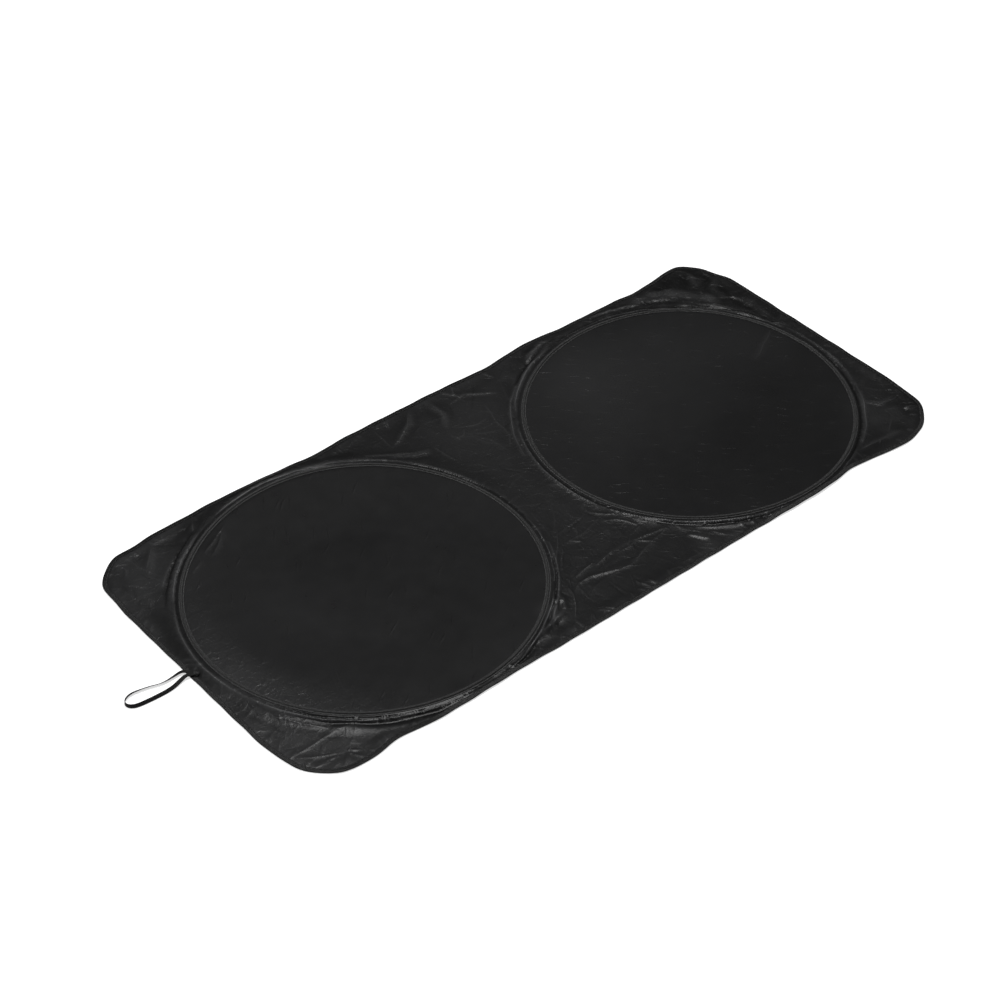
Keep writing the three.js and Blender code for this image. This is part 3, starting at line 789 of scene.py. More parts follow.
def strap_profile():
    """Section of the strap: rounded edges and shallow grooves between its cords of rubber."""
    half_width, half_thick = LOOP_WIDTH / 2, LOOP_THICKNESS / 2
    cords = 5
    face = np.linspace(-1, 1, 4 * cords + 1)
    bulge = half_thick * (0.9 + 0.1 * np.cos(face * cords * math.pi) ** 2)
    rim = np.sqrt(np.maximum(0.12, 1 - np.maximum(0, (np.abs(face) - 0.88) / 0.12) ** 2))
    upper = np.stack([face * half_width, bulge * rim], 1)
    lower = np.stack([face[::-1] * half_width, -(bulge * rim)[::-1]], 1)
    return np.concatenate([upper, lower])


def carry_loop(material):
    line = through_points(LOOP_ROUTE, 5)
    middle, lean = line[:, :3], np.radians(line[:, 3])
    forward = unit(np.gradient(middle, axis=0))
    inwards = unit(np.cross((0, 0, 1), forward))
    standing = np.cross(forward, inwards)
    across = standing * np.cos(lean)[:, None] + inwards * np.sin(lean)[:, None]
    through = np.cross(across, forward)
    profile = strap_profile()
    sections = middle[:, None] + profile[None, :, :1] * across[:, None]
    sections = sections + profile[None, :, 1:] * through[:, None]
    along = lengths_along(middle)
    over = np.concatenate([profile[:, 0], profile[:1, 0]])
    strap = swept("elastic_carry_loop", sections, material, False, along, over)
    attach(strap, "root")
    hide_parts("carry_loop")
    return strap


# The fabric panel

# Ridges of slack that run beside a hoop: side, from and to which angle, how far out, height, half width
HUGGING = [
    ("left", 236, 262, 10, 1.3, 5), ("left", 258, 292, 12, 2.0, 5), ("left", 286, 318, 10, 2.2, 6),
    ("left", 300, 340, 17, 1.5, 6), ("left", 322, 352, 10, 1.4, 5), ("left", 10, 42, 12, 1.2, 5),
    ("left", 40, 66, 15, 1.8, 6), ("left", 70, 108, 13, 1.3, 6), ("left", 118, 150, 13, 1.4, 6),
    ("left", 150, 196, 12, 1.2, 6), ("left", 196, 232, 12, 1.3, 6),
    ("right", 200, 268, 9, 2.6, 4.4), ("right", 228, 246, 21, 1.0, 6), ("right", 210, 268, 15, -1.6, 5),
    ("right", 262, 300, 11, 1.4, 6), ("right", 302, 336, 18, 1.2, 6), ("right", 336, 372, 18, 1.4, 6),
    ("right", 12, 36, 13, 1.6, 6), ("right", 60, 98, 12, 1.6, 6), ("right", 104, 142, 15, 1.8, 7),
    ("right", 126, 164, 23, 1.3, 6), ("right", 150, 196, 12, 1.4, 6),
    # Mostly pockets, where it sinks between the hoop and a fold
    ("right", 56, 78, 16, -2.0, 11), ("right", 76, 100, 14, -2.0, 10), ("right", 98, 128, 24, -1.5, 11),
    ("right", 22, 52, 20, -1.8, 10), ("right", 36, 60, 15, -2.2, 9), ("right", 62, 84, 34, 2.0, 9),
    ("right", 292, 352, 8, -1.6, 6), ("left", 205, 262, 8, -1.2, 5.5), ("left", 212, 296, 17, -2.6, 20),
    ("left", 116, 150, 24, -1.5, 11), ("left", 300, 332, 13, -1.2, 5),
]

# Painted light and shade: where the fabric is painted paler or darker than elsewhere: place, how much, reach
PAINTED_SHADING_SPOTS = [
    (-430, -220, -0.12, 110), (-300, -150, -0.25, 120), (-330, 230, -0.35, 120), (-540, 20, 0.13, 110),
    (480, 150, 0.25, 110), (620, 60, 0.15, 80), (420, -190, -0.2, 110),
    (290, 190, 0.42, 110), (230, 50, 0.22, 110), (400, 10, 0.12, 110),
    (40, 230, 0.3, 120), (0, 0, 0.13, 150), (650, -250, 0.45, 65), (-650, 240, 0.25, 70),
    (-690, -215, 0.25, 60), (-700, -70, 0.35, 50), (530, 298, 0.35, 16), (565, 284, 0.5, 17),
    (595, 262, 0.5, 17), (622, 236, 0.4, 17), (648, 206, 0.3, 17), (-420, -306, -0.5, 40),
    (140, -308, 0.5, 30), (190, -310, 0.5, 22), (-180, -258, 0.7, 24), (660, 310, -0.5, 50),
    (716, 200, -0.4, 45), (722, 120, -0.35, 45), (590, 322, -0.4, 40), (722, -262, -0.7, 34),
    (716, -230, -0.3, 30), (690, -306, -0.4, 30), (-722, 262, -0.4, 26), (-700, 300, -0.3, 28),
]

# Crests are painted paler, a painted highlight, and pockets darker, a painted shade: how much for each
# millimetre over or under the smoothed height, how often that is smoothed, the most they change the tone,
# and the tone of the palest painted highlight
CREST_HIGHLIGHT = 0.42
POCKET_SHADE = 0.4
RELIEF_ROUNDS = 26
RELIEF_MOST = 0.8
PALEST_HIGHLIGHT = 1.8

# How strongly the fabric crumples: place, strength, reach
CRUMPLED = [
    (650, 270, 0.7, 120), (700, 60, 0.5, 160), (690, -270, 0.5, 110), (-690, 260, 0.2, 110),
    (-690, -260, 0.1, 120), (-500, -300, 0.12, 90), (-190, -280, 0.3, 70), (300, 305, 0.6, 110),
    (160, -312, 0.6, 40), (480, 300, 0.5, 80),
]
CRUMPLE_LEAST = 0.05

# Mesh of the panel: how far apart points lie along the edge, on the taut discs and in the slack fabric, and
# in rings beside each hoop, with how far outside the wire those lie
EDGE_SPACING = 5
DISC_SPACING = 9.5
SLACK_SPACING = 4.8
BAND_RINGS = [(-17, 6.5), (-11, 5.5), (-5.5, 5), (0, 5), (5.5, 4.8), (9.5, 4.6), (13.5, 4.6)]

# Cloth trial: how far apart its points lie, where its ring beside a hoop runs, how many frames it takes, how
# many waves the cloth starts with, and the share of its length that it gains
TRIAL_SPACING = 8.5
TRIAL_RING = BAND_HALF + 7.5
TRIAL_FRAMES = 26
TRIAL_WAVES = 40
TRIAL_GAIN = 0.02


def crumple(x, y):
    return np.minimum(1, with_spots(np.full_like(x, CRUMPLE_LEAST), CRUMPLED, x, y))


def crinkle_net(rng, spacing, height, kept, line_height, line_half_width):
    """Flat facets between random corners, as in crushed paper: their height, and the creases between them."""
    half = np.array([PANEL_LENGTH, PANEL_WIDTH]) / 2 + spacing
    xs = np.arange(-half[0], half[0] + spacing, spacing)
    ys = np.arange(-half[1], half[1] + spacing, spacing)
    corners = np.stack(np.meshgrid(xs, ys), -1).reshape(-1, 2)
    corners = corners + rng.uniform(-0.48, 0.48, corners.shape) * spacing
    verts, edges, faces, *_ = delaunay_2d_cdt([Vector(p) for p in corners], [], [], 0, 1e-4)
    rise = rng.uniform(0, height, len(verts))
    solid = BVHTree.FromPolygons([(p.x, p.y, z) for p, z in zip(verts, rise)], faces)
    lines = []
    for a, b in edges:
        if rng.uniform() > kept:
            continue
        start, end = np.array(verts[a]), np.array(verts[b])
        middle = (start + end) / 2
        if inset(*middle) < HEM_DEPTH + 4 or outside_hoops(*middle) < BAND_HALF + 5:
            continue
        side = np.array([start[1] - end[1], end[0] - start[0]]) * rng.uniform(-0.12, 0.12)
        lift = rng.uniform(0.4, 1) * line_height * rng.choice([1, 1, -1])
        lines.append((lift, line_half_width, tuple(start), tuple(middle + side), tuple(end)))
    return solid, lines


def facet_height(solid, x, y):
    return np.array([solid.ray_cast((px, py, 50), (0, 0, -1))[0][2] for px, py in zip(x, y)])


def edge_puckers(rng):
    """Short gathers that run in from the bound edge, and out from the hoops' tape."""
    lines = []
    points, directions = outline(HEM_DEPTH - 1, 11)
    for point, direction in zip(points, directions):
        if rng.uniform() < 0.5:
            continue
        skew = rng.uniform(-1.3, 1.3)
        inward = -direction + skew * np.array([-direction[1], direction[0]])
        end = point + inward * rng.uniform(9, 26)
        start = point + direction * 4
        lines.append((rng.uniform(0.15, 0.7), rng.uniform(2.2, 4.2), tuple(start), tuple(end)))
    for hoop in HOOPS.values():
        for angle in np.arange(0, 2 * math.pi, 0.052):
            if rng.uniform() < 0.35:
                continue
            out = np.array([math.cos(angle), math.sin(angle)])
            start = np.array([hoop["x"], hoop["y"]]) + out * (hoop_radius(angle) + BAND_HALF + 1)
            run = out + rng.uniform(-1.6, 1.6) * np.array([-out[1], out[0]])
            end = start + run / np.linalg.norm(run) * rng.uniform(12, 34)
            if inset(*end) < HEM_DEPTH + 2:
                continue
            lines.append((rng.uniform(0.12, 0.4), rng.uniform(2.6, 4.5), tuple(start), tuple(end)))
    return lines


def hugging_lines():
    """The ridges and pockets beside the hoops, each a line of points that wanders a little."""
    rng = np.random.default_rng(31)
    lines = []
    for side, start, end, out, height, half_width in HUGGING:
        hoop = HOOPS[side]
        angles = np.radians(np.linspace(start, end, max(4, round((end - start) / 5))))
        radius = hoop_radius(angles) + out + 1 + rng.uniform(-1.5, 1.5, len(angles))
        points = zip(hoop["x"] + radius * np.cos(angles), hoop["y"] + radius * np.sin(angles))
        lines.append((1.2 * height, 0.52 * half_width, *points))
    return lines


def rows_along(line, spacing, offset):
    """Points on a crease and on both sides of it, so that the mesh can bend sharply there."""
    crest = np.array(line[2:], float)
    rows = []
    for a, b in zip(crest, crest[1:]):
        steps = max(2, int(np.linalg.norm(b - a) / spacing))
        side = np.array([a[1] - b[1], b[0] - a[0]]) / np.linalg.norm(b - a) * offset
        for t in (np.arange(steps) + 0.5) / steps:
            middle = a + (b - a) * t
            rows += [middle, middle + side, middle - side]
    return np.array(rows)


def simulated_crumples():
    """Cloth simulation of the slack fabric, a little too long for its seams. Gives how far points rise."""
    rng = np.random.default_rng(7)
    edge, _ = outline(HEM_DEPTH, 9)
    rows = []
    for hoop in HOOPS.values():
        for out, turned in ((BAND_HALF, 0), (TRIAL_RING, 0.5)):
            points = ring(hoop, out, 230, turned)
            rows.append(points[inset(*points.T) > HEM_DEPTH + 4])
    points = grid(TRIAL_SPACING, rng)
    inside = inset(*points.T) > HEM_DEPTH + 0.6 * TRIAL_SPACING
    rows.append(points[inside & (outside_hoops(*points.T) > TRIAL_RING + 0.6 * TRIAL_SPACING)])
    verts, faces = triangulate(edge, rows)
    middle = verts[faces].mean(axis=1)
    faces = faces[outside_hoops(*middle.T) > BAND_HALF - 2]
    x, y = verts.T
    start = fabric_top(x, y)
    slack = ground(x, y)[1] * smooth((inset(x, y) - HEM_DEPTH) / 10)
    waves = np.zeros_like(x)
    for _ in range(TRIAL_WAVES):
        angle = rng.uniform(0, 2 * math.pi)
        length = rng.uniform(35, 95)
        phase = rng.uniform(0, 2 * math.pi)
        waves += np.sin(2 * math.pi * (x * math.cos(angle) + y * math.sin(angle)) / length + phase)
    start = start + slack * 0.8 * np.maximum(0, 1 + 0.45 * waves)
    cloth = new_object("cloth_trial", np.stack([x, y, start], 1), faces)
    floor = new_object("cloth_floor", rectangle(900, 500), [(0, 1, 2, 3)])
    floor.modifiers.new("Collision", "COLLISION")
    floor.collision.thickness_outer = 0.0005
    held = cloth.vertex_groups.new(name="held")
    nearly = np.nonzero((outside_hoops(x, y) < BAND_HALF + 1) | (inset(x, y) < HEM_DEPTH + 0.5))[0]
    held.add(nearly.tolist(), 1.0, "REPLACE")
    loose = cloth.vertex_groups.new(name="loose")
    share = slack * crumple(x, y)
    for i in np.nonzero(share > 0.01)[0].tolist():
        loose.add([i], float(share[i]), "REPLACE")
    modifier = cloth.modifiers.new("Cloth", "CLOTH")
    settings = modifier.settings
    settings.quality = 6
    settings.mass = 0.05
    settings.tension_stiffness = settings.compression_stiffness = settings.shear_stiffness = 20
    settings.tension_damping = settings.compression_damping = settings.shear_damping = 5
    settings.bending_model = "ANGULAR"
    settings.bending_stiffness = 1.0
    settings.bending_damping = 0.5
    settings.air_damping = 1.0
    settings.vertex_group_mass = "held"
    settings.vertex_group_shrink = "loose"
    settings.shrink_min = 0.0
    settings.shrink_max = -TRIAL_GAIN
    modifier.collision_settings.distance_min = 0.001
    modifier.point_cache.frame_start = 1
    modifier.point_cache.frame_end = TRIAL_FRAMES
    scene = bpy.context.scene
    scene.frame_start = 1
    scene.frame_end = TRIAL_FRAMES
    for number in range(1, TRIAL_FRAMES + 1):
        scene.frame_set(number)
    places = np.empty(len(verts) * 3)
    evaluated = cloth.evaluated_get(bpy.context.evaluated_depsgraph_get())
    evaluated.data.vertices.foreach_get("co", places)
    rise = places.reshape(-1, 3)[:, 2] / MM - start
    for obj in (cloth, floor):
        mesh = obj.data
        bpy.data.objects.remove(obj)
        bpy.data.meshes.remove(mesh)
    scene.frame_set(1)
    return verts, np.clip(rise + slack * 0.36 * waves, -4, 5)


def tree_of(places):
    """A search tree over places in plan."""
    tree = KDTree(len(places))
    for i, (x, y) in enumerate(places):
        tree.insert((x, y, 0), i)
    tree.balance()
    return tree


def spread(places, values, x, y, reach):
    """Values known at some places, carried to other points as a mean of the nearest."""
    tree = tree_of(places)
    result = np.zeros_like(x)
    for i, (px, py) in enumerate(zip(x, y)):
        found = tree.find_n((px, py, 0), 6)
        if found[0][2] > reach:
            continue
        weight = np.array([max(1e-6, 1 - distance / (1.6 * reach)) ** 2 for _, _, distance in found])
        result[i] = (weight * values[[index for _, index, _ in found]]).sum() / weight.sum()
    return result


def eased(values, faces, rounds):
    """Values on a mesh, drawn towards the mean of their neighbours again and again."""
    here = faces.ravel()
    beside = np.roll(faces, 1, axis=1).ravel()
    count = len(values)
    neighbours = np.maximum(1, np.bincount(here, minlength=count) + np.bincount(beside, minlength=count))
    for _ in range(rounds):
        total = np.bincount(here, values[beside], count) + np.bincount(beside, values[here], count)
        values = total / neighbours
    return values


def disc_slack(x, y):
    """How loose the taut fabric is, just inside the left hoop's left end."""
    middle = math.radians(192)
    half_angle = 42
    depth = 12
    reach = 48
    angle, out = from_hoop(HOOPS["left"], x, y)
    apart = np.degrees(turned_from(angle, middle))
    return np.exp(-(apart / half_angle) ** 2) * np.exp(-((out + depth) / reach) ** 2) * (out < 0)


def fabric_mesh(rng, creases):
    """The panel's mesh in plan: rows by its edge, the hoops, every crease and fold, and a grid elsewhere."""
    edge, _ = outline(0, EDGE_SPACING)
    depths = ((HEM_DEPTH / 2, EDGE_SPACING), (HEM_DEPTH, EDGE_SPACING), (HEM_DEPTH + 4, 4.6))
    rows = [outline(depth, spacing)[0] for depth, spacing in depths]
    for hoop in HOOPS.values():
        for out, step in BAND_RINGS:
            points = ring(hoop, out, int(2 * math.pi * HOOP_HALF_LENGTH / step), 0.5 if out else 0)
            rows.append(points[inset(*points.T) > HEM_DEPTH + 6])
    sharp = [rows_along(line, 4.2, 1.5) for line in creases]
    sharp += [rows_along(line, 5, 1.2) for line in DISC_CREASES]
    sharp += [rows_along(line, 4.6, 2.4) for line in FOLDS]
    sharp = np.concatenate(sharp)
    sharp = sharp[(np.abs(outside_hoops(*sharp.T)) > BAND_HALF + 1) & (inset(*sharp.T) > HEM_DEPTH + 1)]
    rows.append(sharp)
    tree = tree_of(sharp)
    innermost, outermost = BAND_RINGS[0][0], BAND_RINGS[-1][0]
    for spacing in (DISC_SPACING, SLACK_SPACING):
        points = grid(spacing, rng)
        outs = outside_hoops(*points.T)
        clear = 0.6 * spacing
        if spacing == DISC_SPACING:
            wanted = outs < innermost - clear
        else:
            wanted = (outs > outermost + clear) & (inset(*points.T) > HEM_DEPTH + 4 + clear)
        points = points[wanted]
        apart = [tree.find((x, y, 0))[2] > 0.45 * spacing for x, y in points]
        rows.append(points[apart])
    return triangulate(edge, rows)


def fabric_panel(material):
    rng = np.random.default_rng(11)
    large_net, large_lines = crinkle_net(rng, 58, 2.0, 0.4, 0.8, 2.2)
    small_net, small_lines = crinkle_net(rng, 24, 0.4, 0.2, 0.5, 2.0)
    slack_lines = large_lines + small_lines
    puckers = edge_puckers(rng)
    beside = hugging_lines()
    creases = [(height, CREASE_HALF_WIDTH, *crest) for height, *crest in CREASES]
    verts, faces = fabric_mesh(rng, creases + slack_lines + beside + puckers)
    x, y = verts.T
    _, slack, near_edge = ground(x, y)
    top = fabric_top(x, y, fold_crest)
    outs = outside_hoops(x, y)
    crumpling = crumple(x, y)

    # How far each kind of crease is let in: in slack fabric, off the seams, on the taut discs
    free = slack * (1 - near_edge * HEM_HOLD)
    netted = free * (0.2 + 0.8 * crumpling)
    clear_of_hem = smooth((inset(x, y) - HEM_DEPTH + 4) / 8)
    held = clear_of_hem * smooth((outs - BAND_HALF) / 4)
    on_disc = smooth((-outs - BAND_HALF) / 8)
    ruffled = 0.3 + 0.7 * smooth((y + 290) / 130)

    crumpled = np.zeros_like(x)
    places, rise = simulated_crumples()
    crumpled = 0.6 * spread(places, rise, x, y, 9) * slack * crumpling ** 0.8
    crumpled += netted * (facet_height(large_net, x, y) + facet_height(small_net, x, y))
    painted_light_and_shade = np.zeros_like(x)
    groups = [(free, creases), (0.3 * free * ruffled + 0.7 * netted, slack_lines), (held, puckers + beside),
              (on_disc, DISC_CREASES)]
    for share, lines in groups:
        for line in lines:
            lift = share * ridge(line, x, y, sharp_crest)
            crumpled += lift
            # Each ridge also paints the fabric paler where it rises and darker where it sinks: painted
            # highlight and painted shade
            painted_light_and_shade += lift * 0.5

    # A groove runs just outside each hoop's tape, and is painted darker there as painted shade
    for side, hoop in HOOPS.items():
        angle, out = from_hoop(hoop, x, y)
        groove = round_crest(np.minimum(1, np.abs(out - BAND_HALF - 3) / 3.4))
        groove *= 0.65 + 0.35 * np.sin(3 * angle + (1 if side == "left" else 4))
        crumpled -= np.minimum(0.7 * groove, 0.6 * hoop_lift(hoop, angle)) * clear_of_hem
        painted_light_and_shade -= groove

    # Painted light and shade: painted shade where it is badly crumpled, painted light towards the left end,
    # then the painted spots, a painted highlight just inside the left hoop's left end, and the relief
    painted_light_and_shade -= 0.7 * slack * np.maximum(0, crumpling - 0.3)
    painted_light_and_shade += 0.3 * slack * smooth((-x - 430) / 170)
    painted_light_and_shade = with_spots(painted_light_and_shade, PAINTED_SHADING_SPOTS, x, y)
    loose = disc_slack(x, y)
    painted_light_and_shade += 0.3 * loose
    top = np.maximum(top + crumpled, FABRIC_LIFT)
    # Painted highlight on crests and painted shade in pockets, by how far each point stands over or under its
    # smoothed height
    relief = top - eased(top, faces, RELIEF_ROUNDS)
    tone = np.where(relief > 0, CREST_HIGHLIGHT, POCKET_SHADE) * relief
    painted_light_and_shade += held * np.clip(tone, -RELIEF_MOST, RELIEF_MOST)

    sheet = new_object("fabric_sheet", np.stack([x, y, top], 1), faces, material)
    # This share also paints the fabric paler in its colour, a painted sheen, besides setting its crinkles and
    # roughness
    slack_and_sheen = slack * (0.35 * ruffled + 0.65 * crumpling) + 0.8 * loose
    for name, values in (("slack", slack_and_sheen), ("painted_light_and_shade", np.clip(painted_light_and_shade, -1, PALEST_HIGHLIGHT))):
        layer = sheet.data.attributes.new(name, "FLOAT", "POINT")
        layer.data.foreach_set("value", values.astype(np.float32))
    solidify = sheet.modifiers.new("thickness", "SOLIDIFY")
    solidify.thickness = FABRIC_THICKNESS * MM
    solidify.offset = -1
    made_plain(sheet)
    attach(sheet, "root")
    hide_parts("fabric_panel")
    return sheet


# The binding round the edge

def binding_profile():
    """Section of the folded tape: distance in from the cut edge, height over the top, and which face."""
    outer = CLEARANCE + BINDING_THICKNESS
    upper = [(BINDING_WIDTH, CLEARANCE), (BINDING_WIDTH + 0.1, outer - 0.2), (BINDING_WIDTH - 0.3, outer)]
    upper += [(share * BINDING_WIDTH, outer) for share in (0.8, 0.62, 0.45, 0.28, 0.12)]
    bend = [(-outer * math.sin(a), outer * math.cos(a)) for a in np.radians([15, 40, 65, 90])]
    return upper + bend


def edge_binding(material):
    rng = np.random.default_rng(5)
    cut, directions = outline(0, 3.6)
    tangent = unit(np.roll(cut, -1, axis=0) - np.roll(cut, 1, axis=0))
    outward = np.stack([tangent[:, 1], -tangent[:, 0]], 1)
    outward *= np.sign((outward * directions).sum(axis=1))[:, None]
    along = lengths_along(cut, closed=True)
    gather = wobble(along[:-1], along[-1], (7, 16), rng)
    swell = wobble(along[:-1], along[-1], (24, 70), rng)
    profile = binding_profile()
    columns = []
    for side in (1, -1):
        for depth, up in (profile if side > 0 else profile[::-1]):
            inner = max(0, depth) / BINDING_WIDTH
            reach = depth + 0.35 * inner * gather
            plan = cut - outward * reach[:, None]
            under = cut - outward * np.maximum(0, reach)[:, None]
            top = fabric_top(*under.T)
            if side > 0:
                puffed = 0.22 * np.maximum(0, gather) + 0.12 * np.maximum(0, swell)
                height = top + up + puffed * smooth(inner * 2)
            else:
                height = np.maximum(0.02, top - FABRIC_LIFT - up)
            columns.append(np.column_stack([plan, height]))
    sections = np.stack(columns, 1)
    binding = swept("bound_edge", sections, material, True, along, across_section(sections[0]))
    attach(binding, "root")
    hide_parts("edge_binding")
    seam_in = BINDING_WIDTH - 1.6
    seam_plan = cut - outward * seam_in
    lift = CLEARANCE + BINDING_THICKNESS + 0.05 + 0.2 * np.maximum(0, gather)
    seam = np.column_stack([seam_plan, fabric_top(*seam_plan.T) + lift])
    return seam


# The hoops' tape

# How far out and how high the tape's shoulders lie beside the wire, and where it is sewn down
SHOULDER_OUT = 2.05
SHOULDER_HEIGHT = 1.35
SEAM_OUT = 3.45

# Underside of the tape over the bare wire, whose crown is this high
UNDER_WIRE = [(1.8, CLEARANCE), (1.25, 2.6), (-1.25, 2.6), (-1.8, CLEARANCE)]
BARE_CROWN = WIRE_HEIGHT + WIRE_DIAMETER / 2 + CLEARANCE + TAPE_THICKNESS

def tape_profile():
    """Section of the tape over the wire: distance out from the wire, height, and share of the crown."""
    half = TAPE_WIDTH / 2
    top = CLEARANCE + TAPE_THICKNESS
    shoulder = SHOULDER_OUT
    points = [(-half, CLEARANCE), (-half - 0.05, top - 0.2), (-half + 0.25, top), (-3.6, top - 0.1),
              (-2.9, top), (-shoulder - 0.15, top + 0.18)]
    for angle in np.radians(np.linspace(172, 8, 11)):
        points.append((shoulder * 0.93 * math.cos(angle), math.sin(angle)))
    points += [(shoulder + 0.15, top + 0.18), (2.9, top), (3.6, top - 0.1), (half - 0.25, top),
               (half + 0.05, top - 0.2), (half, CLEARANCE)]
    return points


def hoop_tape(side, hoop, material):
    rng = np.random.default_rng(21 if side == "left" else 22)
    count = 520
    angle = np.arange(count) * 2 * math.pi / count
    middle = ring(hoop, 0, count)
    base = hoop_lift(hoop, angle) + FABRIC_LIFT
    along = lengths_along(middle, closed=True)
    whole = along[-1]
    low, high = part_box(f"{side}_wire_ferrule")
    sleeve = (np.array(low) + np.array(high)) / 2 / MM - PANEL_MIDDLE
    sleeve_angle = math.atan2(sleeve[1] - hoop["y"], sleeve[0] - hoop["x"])

    def apart(at):
        return np.abs(turned_from(angle, at)) * HOOP_HALF_LENGTH

    over_sleeve = 1 - smooth((apart(sleeve_angle) - SLEEVE_LENGTH / 2) / 3)
    in_lap = 1 - smooth((apart(math.radians(hoop["lap"])) - TAPE_LAP / 2) / 1.2)
    gather = wobble(along[:-1], whole, (8, 20), rng)
    radius = WIRE_DIAMETER / 2 + over_sleeve * (SLEEVE_RADIUS - WIRE_DIAMETER / 2)
    crown = WIRE_HEIGHT + radius + CLEARANCE + TAPE_THICKNESS
    columns = []
    outward = np.column_stack([np.cos(angle), np.sin(angle)])
    for out, up in tape_profile():
        if abs(out) < 2.0 and up <= 1:
            height = SHOULDER_HEIGHT + (crown - SHOULDER_HEIGHT) * up
        else:
            height = np.full(count, up)
            if abs(out) > 2.2 and up > CLEARANCE:
                height = height + 0.12 * np.maximum(0, gather)
        height = height + TAPE_THICKNESS * in_lap * (up > CLEARANCE)
        reach = out * (1 + 0.1 * in_lap) + 0.12 * gather
        columns.append(np.column_stack([middle + outward * reach[:, None], base + height]))
    for out, up in UNDER_WIRE:
        height = up + (crown - BARE_CROWN) * (up > 1)
        columns.append(np.column_stack([middle + outward * out, base + height]))
    sections = np.stack(columns, 1)
    tape = swept(f"{side}_tape", sections, material, True, along, across_section(sections[0]))
    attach(tape, "root")
    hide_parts(f"{side}_hoop_tape")
    seams = []
    for out in (-SEAM_OUT, SEAM_OUT):
        height = base + CLEARANCE + TAPE_THICKNESS + 0.02 + TAPE_THICKNESS * in_lap
        seams.append(np.column_stack([middle + outward * (out + 0.12 * gather)[:, None], height]))
    return seams


# Stitches, laid along their seams by one node tree

def stitch_tree():
    tree = bpy.data.node_groups.new("stitches", "GeometryNodeTree")
    face = tree.interface
    face.new_socket("Geometry", in_out="INPUT", socket_type="NodeSocketGeometry")
    for name in ("Pitch", "Length", "Width"):
        face.new_socket(name, in_out="INPUT", socket_type="NodeSocketFloat")
    face.new_socket("Thread", in_out="INPUT", socket_type="NodeSocketMaterial")
    face.new_socket("Geometry", in_out="OUTPUT", socket_type="NodeSocketGeometry")
    given = add_node(tree, "NodeGroupInput").outputs
    curve = add_node(tree, "GeometryNodeMeshToCurve", {}, {"Mesh": given["Geometry"]}).outputs["Curve"]
    spaced = add_node(tree, "GeometryNodeResampleCurve", {"mode": "LENGTH"},
                      {"Curve": curve, "Length": given["Pitch"]}).outputs["Curve"]
    bead = add_node(tree, "GeometryNodeMeshUVSphere", {}, {"Segments": 6, "Rings": 4, "Radius": 0.5})
    size = add_node(tree, "ShaderNodeCombineXYZ", {}, [given["Length"], given["Width"], given["Width"]])
    shaped = add_node(tree, "GeometryNodeTransform", {},
                      {"Geometry": bead.outputs["Mesh"], "Scale": size.outputs["Vector"]})
    tangent = add_node(tree, "GeometryNodeInputTangent").outputs["Tangent"]
    wander = add_node(tree, "FunctionNodeRandomValue", {"data_type": "FLOAT_VECTOR"},
                      {"Min": (-0.09, -0.09, -0.05), "Max": (0.09, 0.09, 0.05), "Seed": 4}).outputs["Value"]
    skew = add_node(tree, "ShaderNodeVectorMath", {"operation": "ADD"}, [tangent, wander])
    turn = add_node(tree, "FunctionNodeAlignRotationToVector", {"axis": "X"},
                    {"Vector": skew.outputs["Vector"]}).outputs["Rotation"]
    place = add_node(tree, "GeometryNodeInstanceOnPoints", {},
                     {"Points": spaced, "Instance": shaped.outputs["Geometry"], "Rotation": turn})
    solid = add_node(tree, "GeometryNodeRealizeInstances", {}, {"Geometry": place.outputs["Instances"]})
    painted = add_node(tree, "GeometryNodeSetMaterial", {},
                       {"Geometry": solid.outputs["Geometry"], "Material": given["Thread"]})
    add_node(tree, "NodeGroupOutput", {}, {"Geometry": painted.outputs["Geometry"]})
    return tree


def stitched(name, seams, tree, thread, pitch, length, width, closed=True):
    """Stitches along each seam, as one piece."""
    points = []
    edges = []
    for seam in seams:
        first = len(points)
        points += metres(seam).tolist()
        edges += [(i, i + 1) for i in range(first, len(points) - 1)]
        if closed:
            edges.append((len(points) - 1, first))
    mesh = bpy.data.meshes.new(name)
    mesh.from_pydata(points, edges, [])
    mesh.materials.append(thread)
    obj = bpy.data.objects.new(name, mesh)
    bpy.context.scene.collection.objects.link(obj)
    modifier = obj.modifiers.new("stitches", "NODES")
    modifier.node_group = tree
    values = {"Pitch": pitch * MM, "Length": length * MM, "Width": width * MM, "Thread": thread}
    for item in tree.interface.items_tree:
        if item.in_out == "INPUT" and item.name in values:
            modifier[item.identifier] = values[item.name]
    made_plain(obj)
    obj.data.polygons.foreach_set("use_smooth", [True] * len(obj.data.polygons))
    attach(obj, "root")
    return obj


def bar_tack():
    """Path of the dense zigzag that holds the loop's two ends."""
    centre = np.array([-719, -2.0])
    lengthwise = np.array([-13.0, 6.0]) / math.hypot(13, 6)
    crosswise = np.array([-lengthwise[1], lengthwise[0]])
    rows = 15
    path = []
    for i in range(rows):
        side = 2.6 if i % 2 else -2.6
        plan = centre + lengthwise * (i / (rows - 1) - 0.5) * 9 + crosswise * side
        path.append((*plan, 6.6))
    return [np.array(path)]


# Floor and lights

def seen(tree, backdrop=None):
    """1 for what the camera sees, also in gloss and through glass, and 0 for the light on the object.

    backdrop is how much of it gloss and glass see.
    """
    paths = add_node(tree, "ShaderNodeLightPath").outputs
    total = paths["Is Camera Ray"]
    for kind in ("Is Glossy Ray", "Is Transmission Ray"):
        shown = paths[kind]
        if backdrop:
            shown = add_node(tree, "ShaderNodeMath", {"operation": "MULTIPLY"}, [shown, backdrop]).outputs[0]
        total = add_node(tree, "ShaderNodeMath", {"operation": "MAXIMUM"}, [total, shown]).outputs[0]
    return total


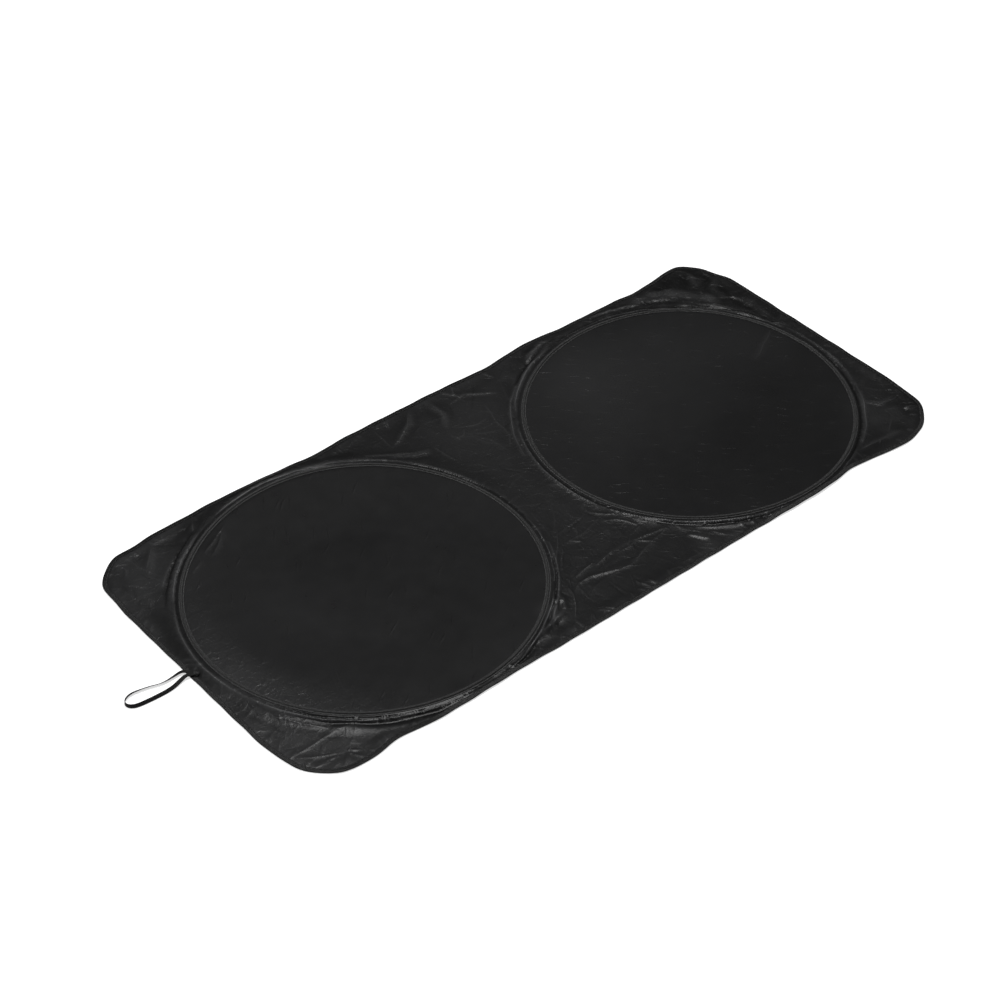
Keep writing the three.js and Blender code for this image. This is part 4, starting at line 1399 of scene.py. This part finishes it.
def faded(tree, value, start, end, low, high):
    """A value made to run smoothly from low to high between start and end."""
    return add_node(tree, "ShaderNodeMapRange", {"interpolation_type": "SMOOTHSTEP"},
                    {"Value": value, "From Min": start, "From Max": end, "To Min": low,
                     "To Max": high}).outputs["Result"]


def add_stage():
    mesh = bpy.data.meshes.new("floor")
    mesh.from_pydata(rectangle(12.0, 12.0), [], [(0, 1, 2, 3)])
    floor = bpy.data.objects.new("floor", mesh)
    floor.location.z = -0.0004
    bpy.context.scene.collection.objects.link(floor)
    material = bpy.data.materials.new("white_floor")
    material.use_nodes = True
    tree = material.node_tree
    tree.nodes.clear()
    white = add_node(tree, "ShaderNodeBsdfDiffuse", {}, {"Color": (0.62, 0.62, 0.62)}).outputs[0]
    place = add_node(tree, "ShaderNodeTexCoord").outputs["Object"]
    distance = add_node(tree, "ShaderNodeVectorMath", {"operation": "LENGTH"}, [place]).outputs["Value"]
    glow = add_node(tree, "ShaderNodeEmission", {}, {"Strength": faded(tree, distance, 0.85, 1.6, 0.62, 1.0)})
    both = add_node(tree, "ShaderNodeAddShader", {}, [white, glow.outputs[0]])
    choose = add_node(tree, "ShaderNodeMixShader", {}, [seen(tree), white, both.outputs[0]])
    add_node(tree, "ShaderNodeOutputMaterial", {}, {"Surface": choose.outputs[0]})
    mesh.materials.append(material)


def add_lamp(name, place, aim, size, watts):
    data = bpy.data.lights.new(name, "AREA")
    data.shape = "RECTANGLE"
    data.size, data.size_y = size
    data.energy = watts
    lamp = bpy.data.objects.new(name, data)
    lamp.location = place
    lamp.rotation_euler = (Vector(aim) - Vector(place)).to_track_quat("-Z", "Y").to_euler()
    bpy.context.scene.collection.objects.link(lamp)


def add_world():
    world = bpy.data.worlds.new("studio")
    bpy.context.scene.world = world
    world.use_nodes = True
    tree = world.node_tree
    place = add_node(tree, "ShaderNodeTexCoord").outputs["Object"]
    height = add_node(tree, "ShaderNodeSeparateXYZ", {}, [place]).outputs["Z"]
    backdrop = faded(tree, height, 0.0, 0.12, 1.0, 0.0)
    strength = add_node(tree, "ShaderNodeMapRange", {},
                        {"Value": seen(tree, backdrop), "To Min": 0.12, "To Max": 1.0}).outputs["Result"]
    background = tree.nodes["Background"]
    join(tree, (1, 1, 1), background.inputs["Color"])
    join(tree, strength, background.inputs["Strength"])


def main():
    add_camera()
    elastic = ribbon_finish("black_elastic", (0.003, 0.003, 0.003), (0.006, 0.006, 0.006), 1.3, 0.6, True)
    carry_loop(elastic)
    fabric_panel(panel_finish())
    binding_cloth = ribbon_finish("binding_tape", (0.003, 0.003, 0.003), (0.006, 0.006, 0.006), 0.7, 0.33)
    tape_cloth = ribbon_finish("hoop_tape", (0.016, 0.016, 0.016), (0.03, 0.03, 0.03), 0.8, 0.32)
    edge_seam = edge_binding(binding_cloth)
    tree = stitch_tree()
    thread = thread_finish()
    for side, hoop in HOOPS.items():
        seams = hoop_tape(side, hoop, tape_cloth)
        stitched(f"{side}_hoop_stitches", seams, tree, thread, 3.6, 2.7, 0.42)
    stitched("edge_stitches", [edge_seam], tree, thread, 3.4, 2.6, 0.42)
    stitched("loop_bar_tack", bar_tack(), tree, thread, 0.9, 1.1, 0.4, False)
    wire = steel_finish("spring_steel", (0.42, 0.42, 0.43), 0.28, 900.0)
    sleeve = steel_finish("zinc_sleeve", (0.6, 0.6, 0.62), 0.34, 500.0)
    for side in HOOPS:
        for node, material in ((f"{side}_hoop_wire", wire), (f"{side}_wire_ferrule", sleeve)):
            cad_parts[node].data.materials.clear()
            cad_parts[node].data.materials.append(material)
    add_stage()
    add_world()
    add_lamp("overhead_softbox", (0.7, 0.62, 3.8), (0, 0, 0), (1.7, 1.7), 132)
    add_lamp("left_softbox", (-3.0, 0.4, 2.2), (-0.2, 0, 0), (1.4, 1.4), 45)
    bpy.context.scene.view_settings.view_transform = "Standard"


main()
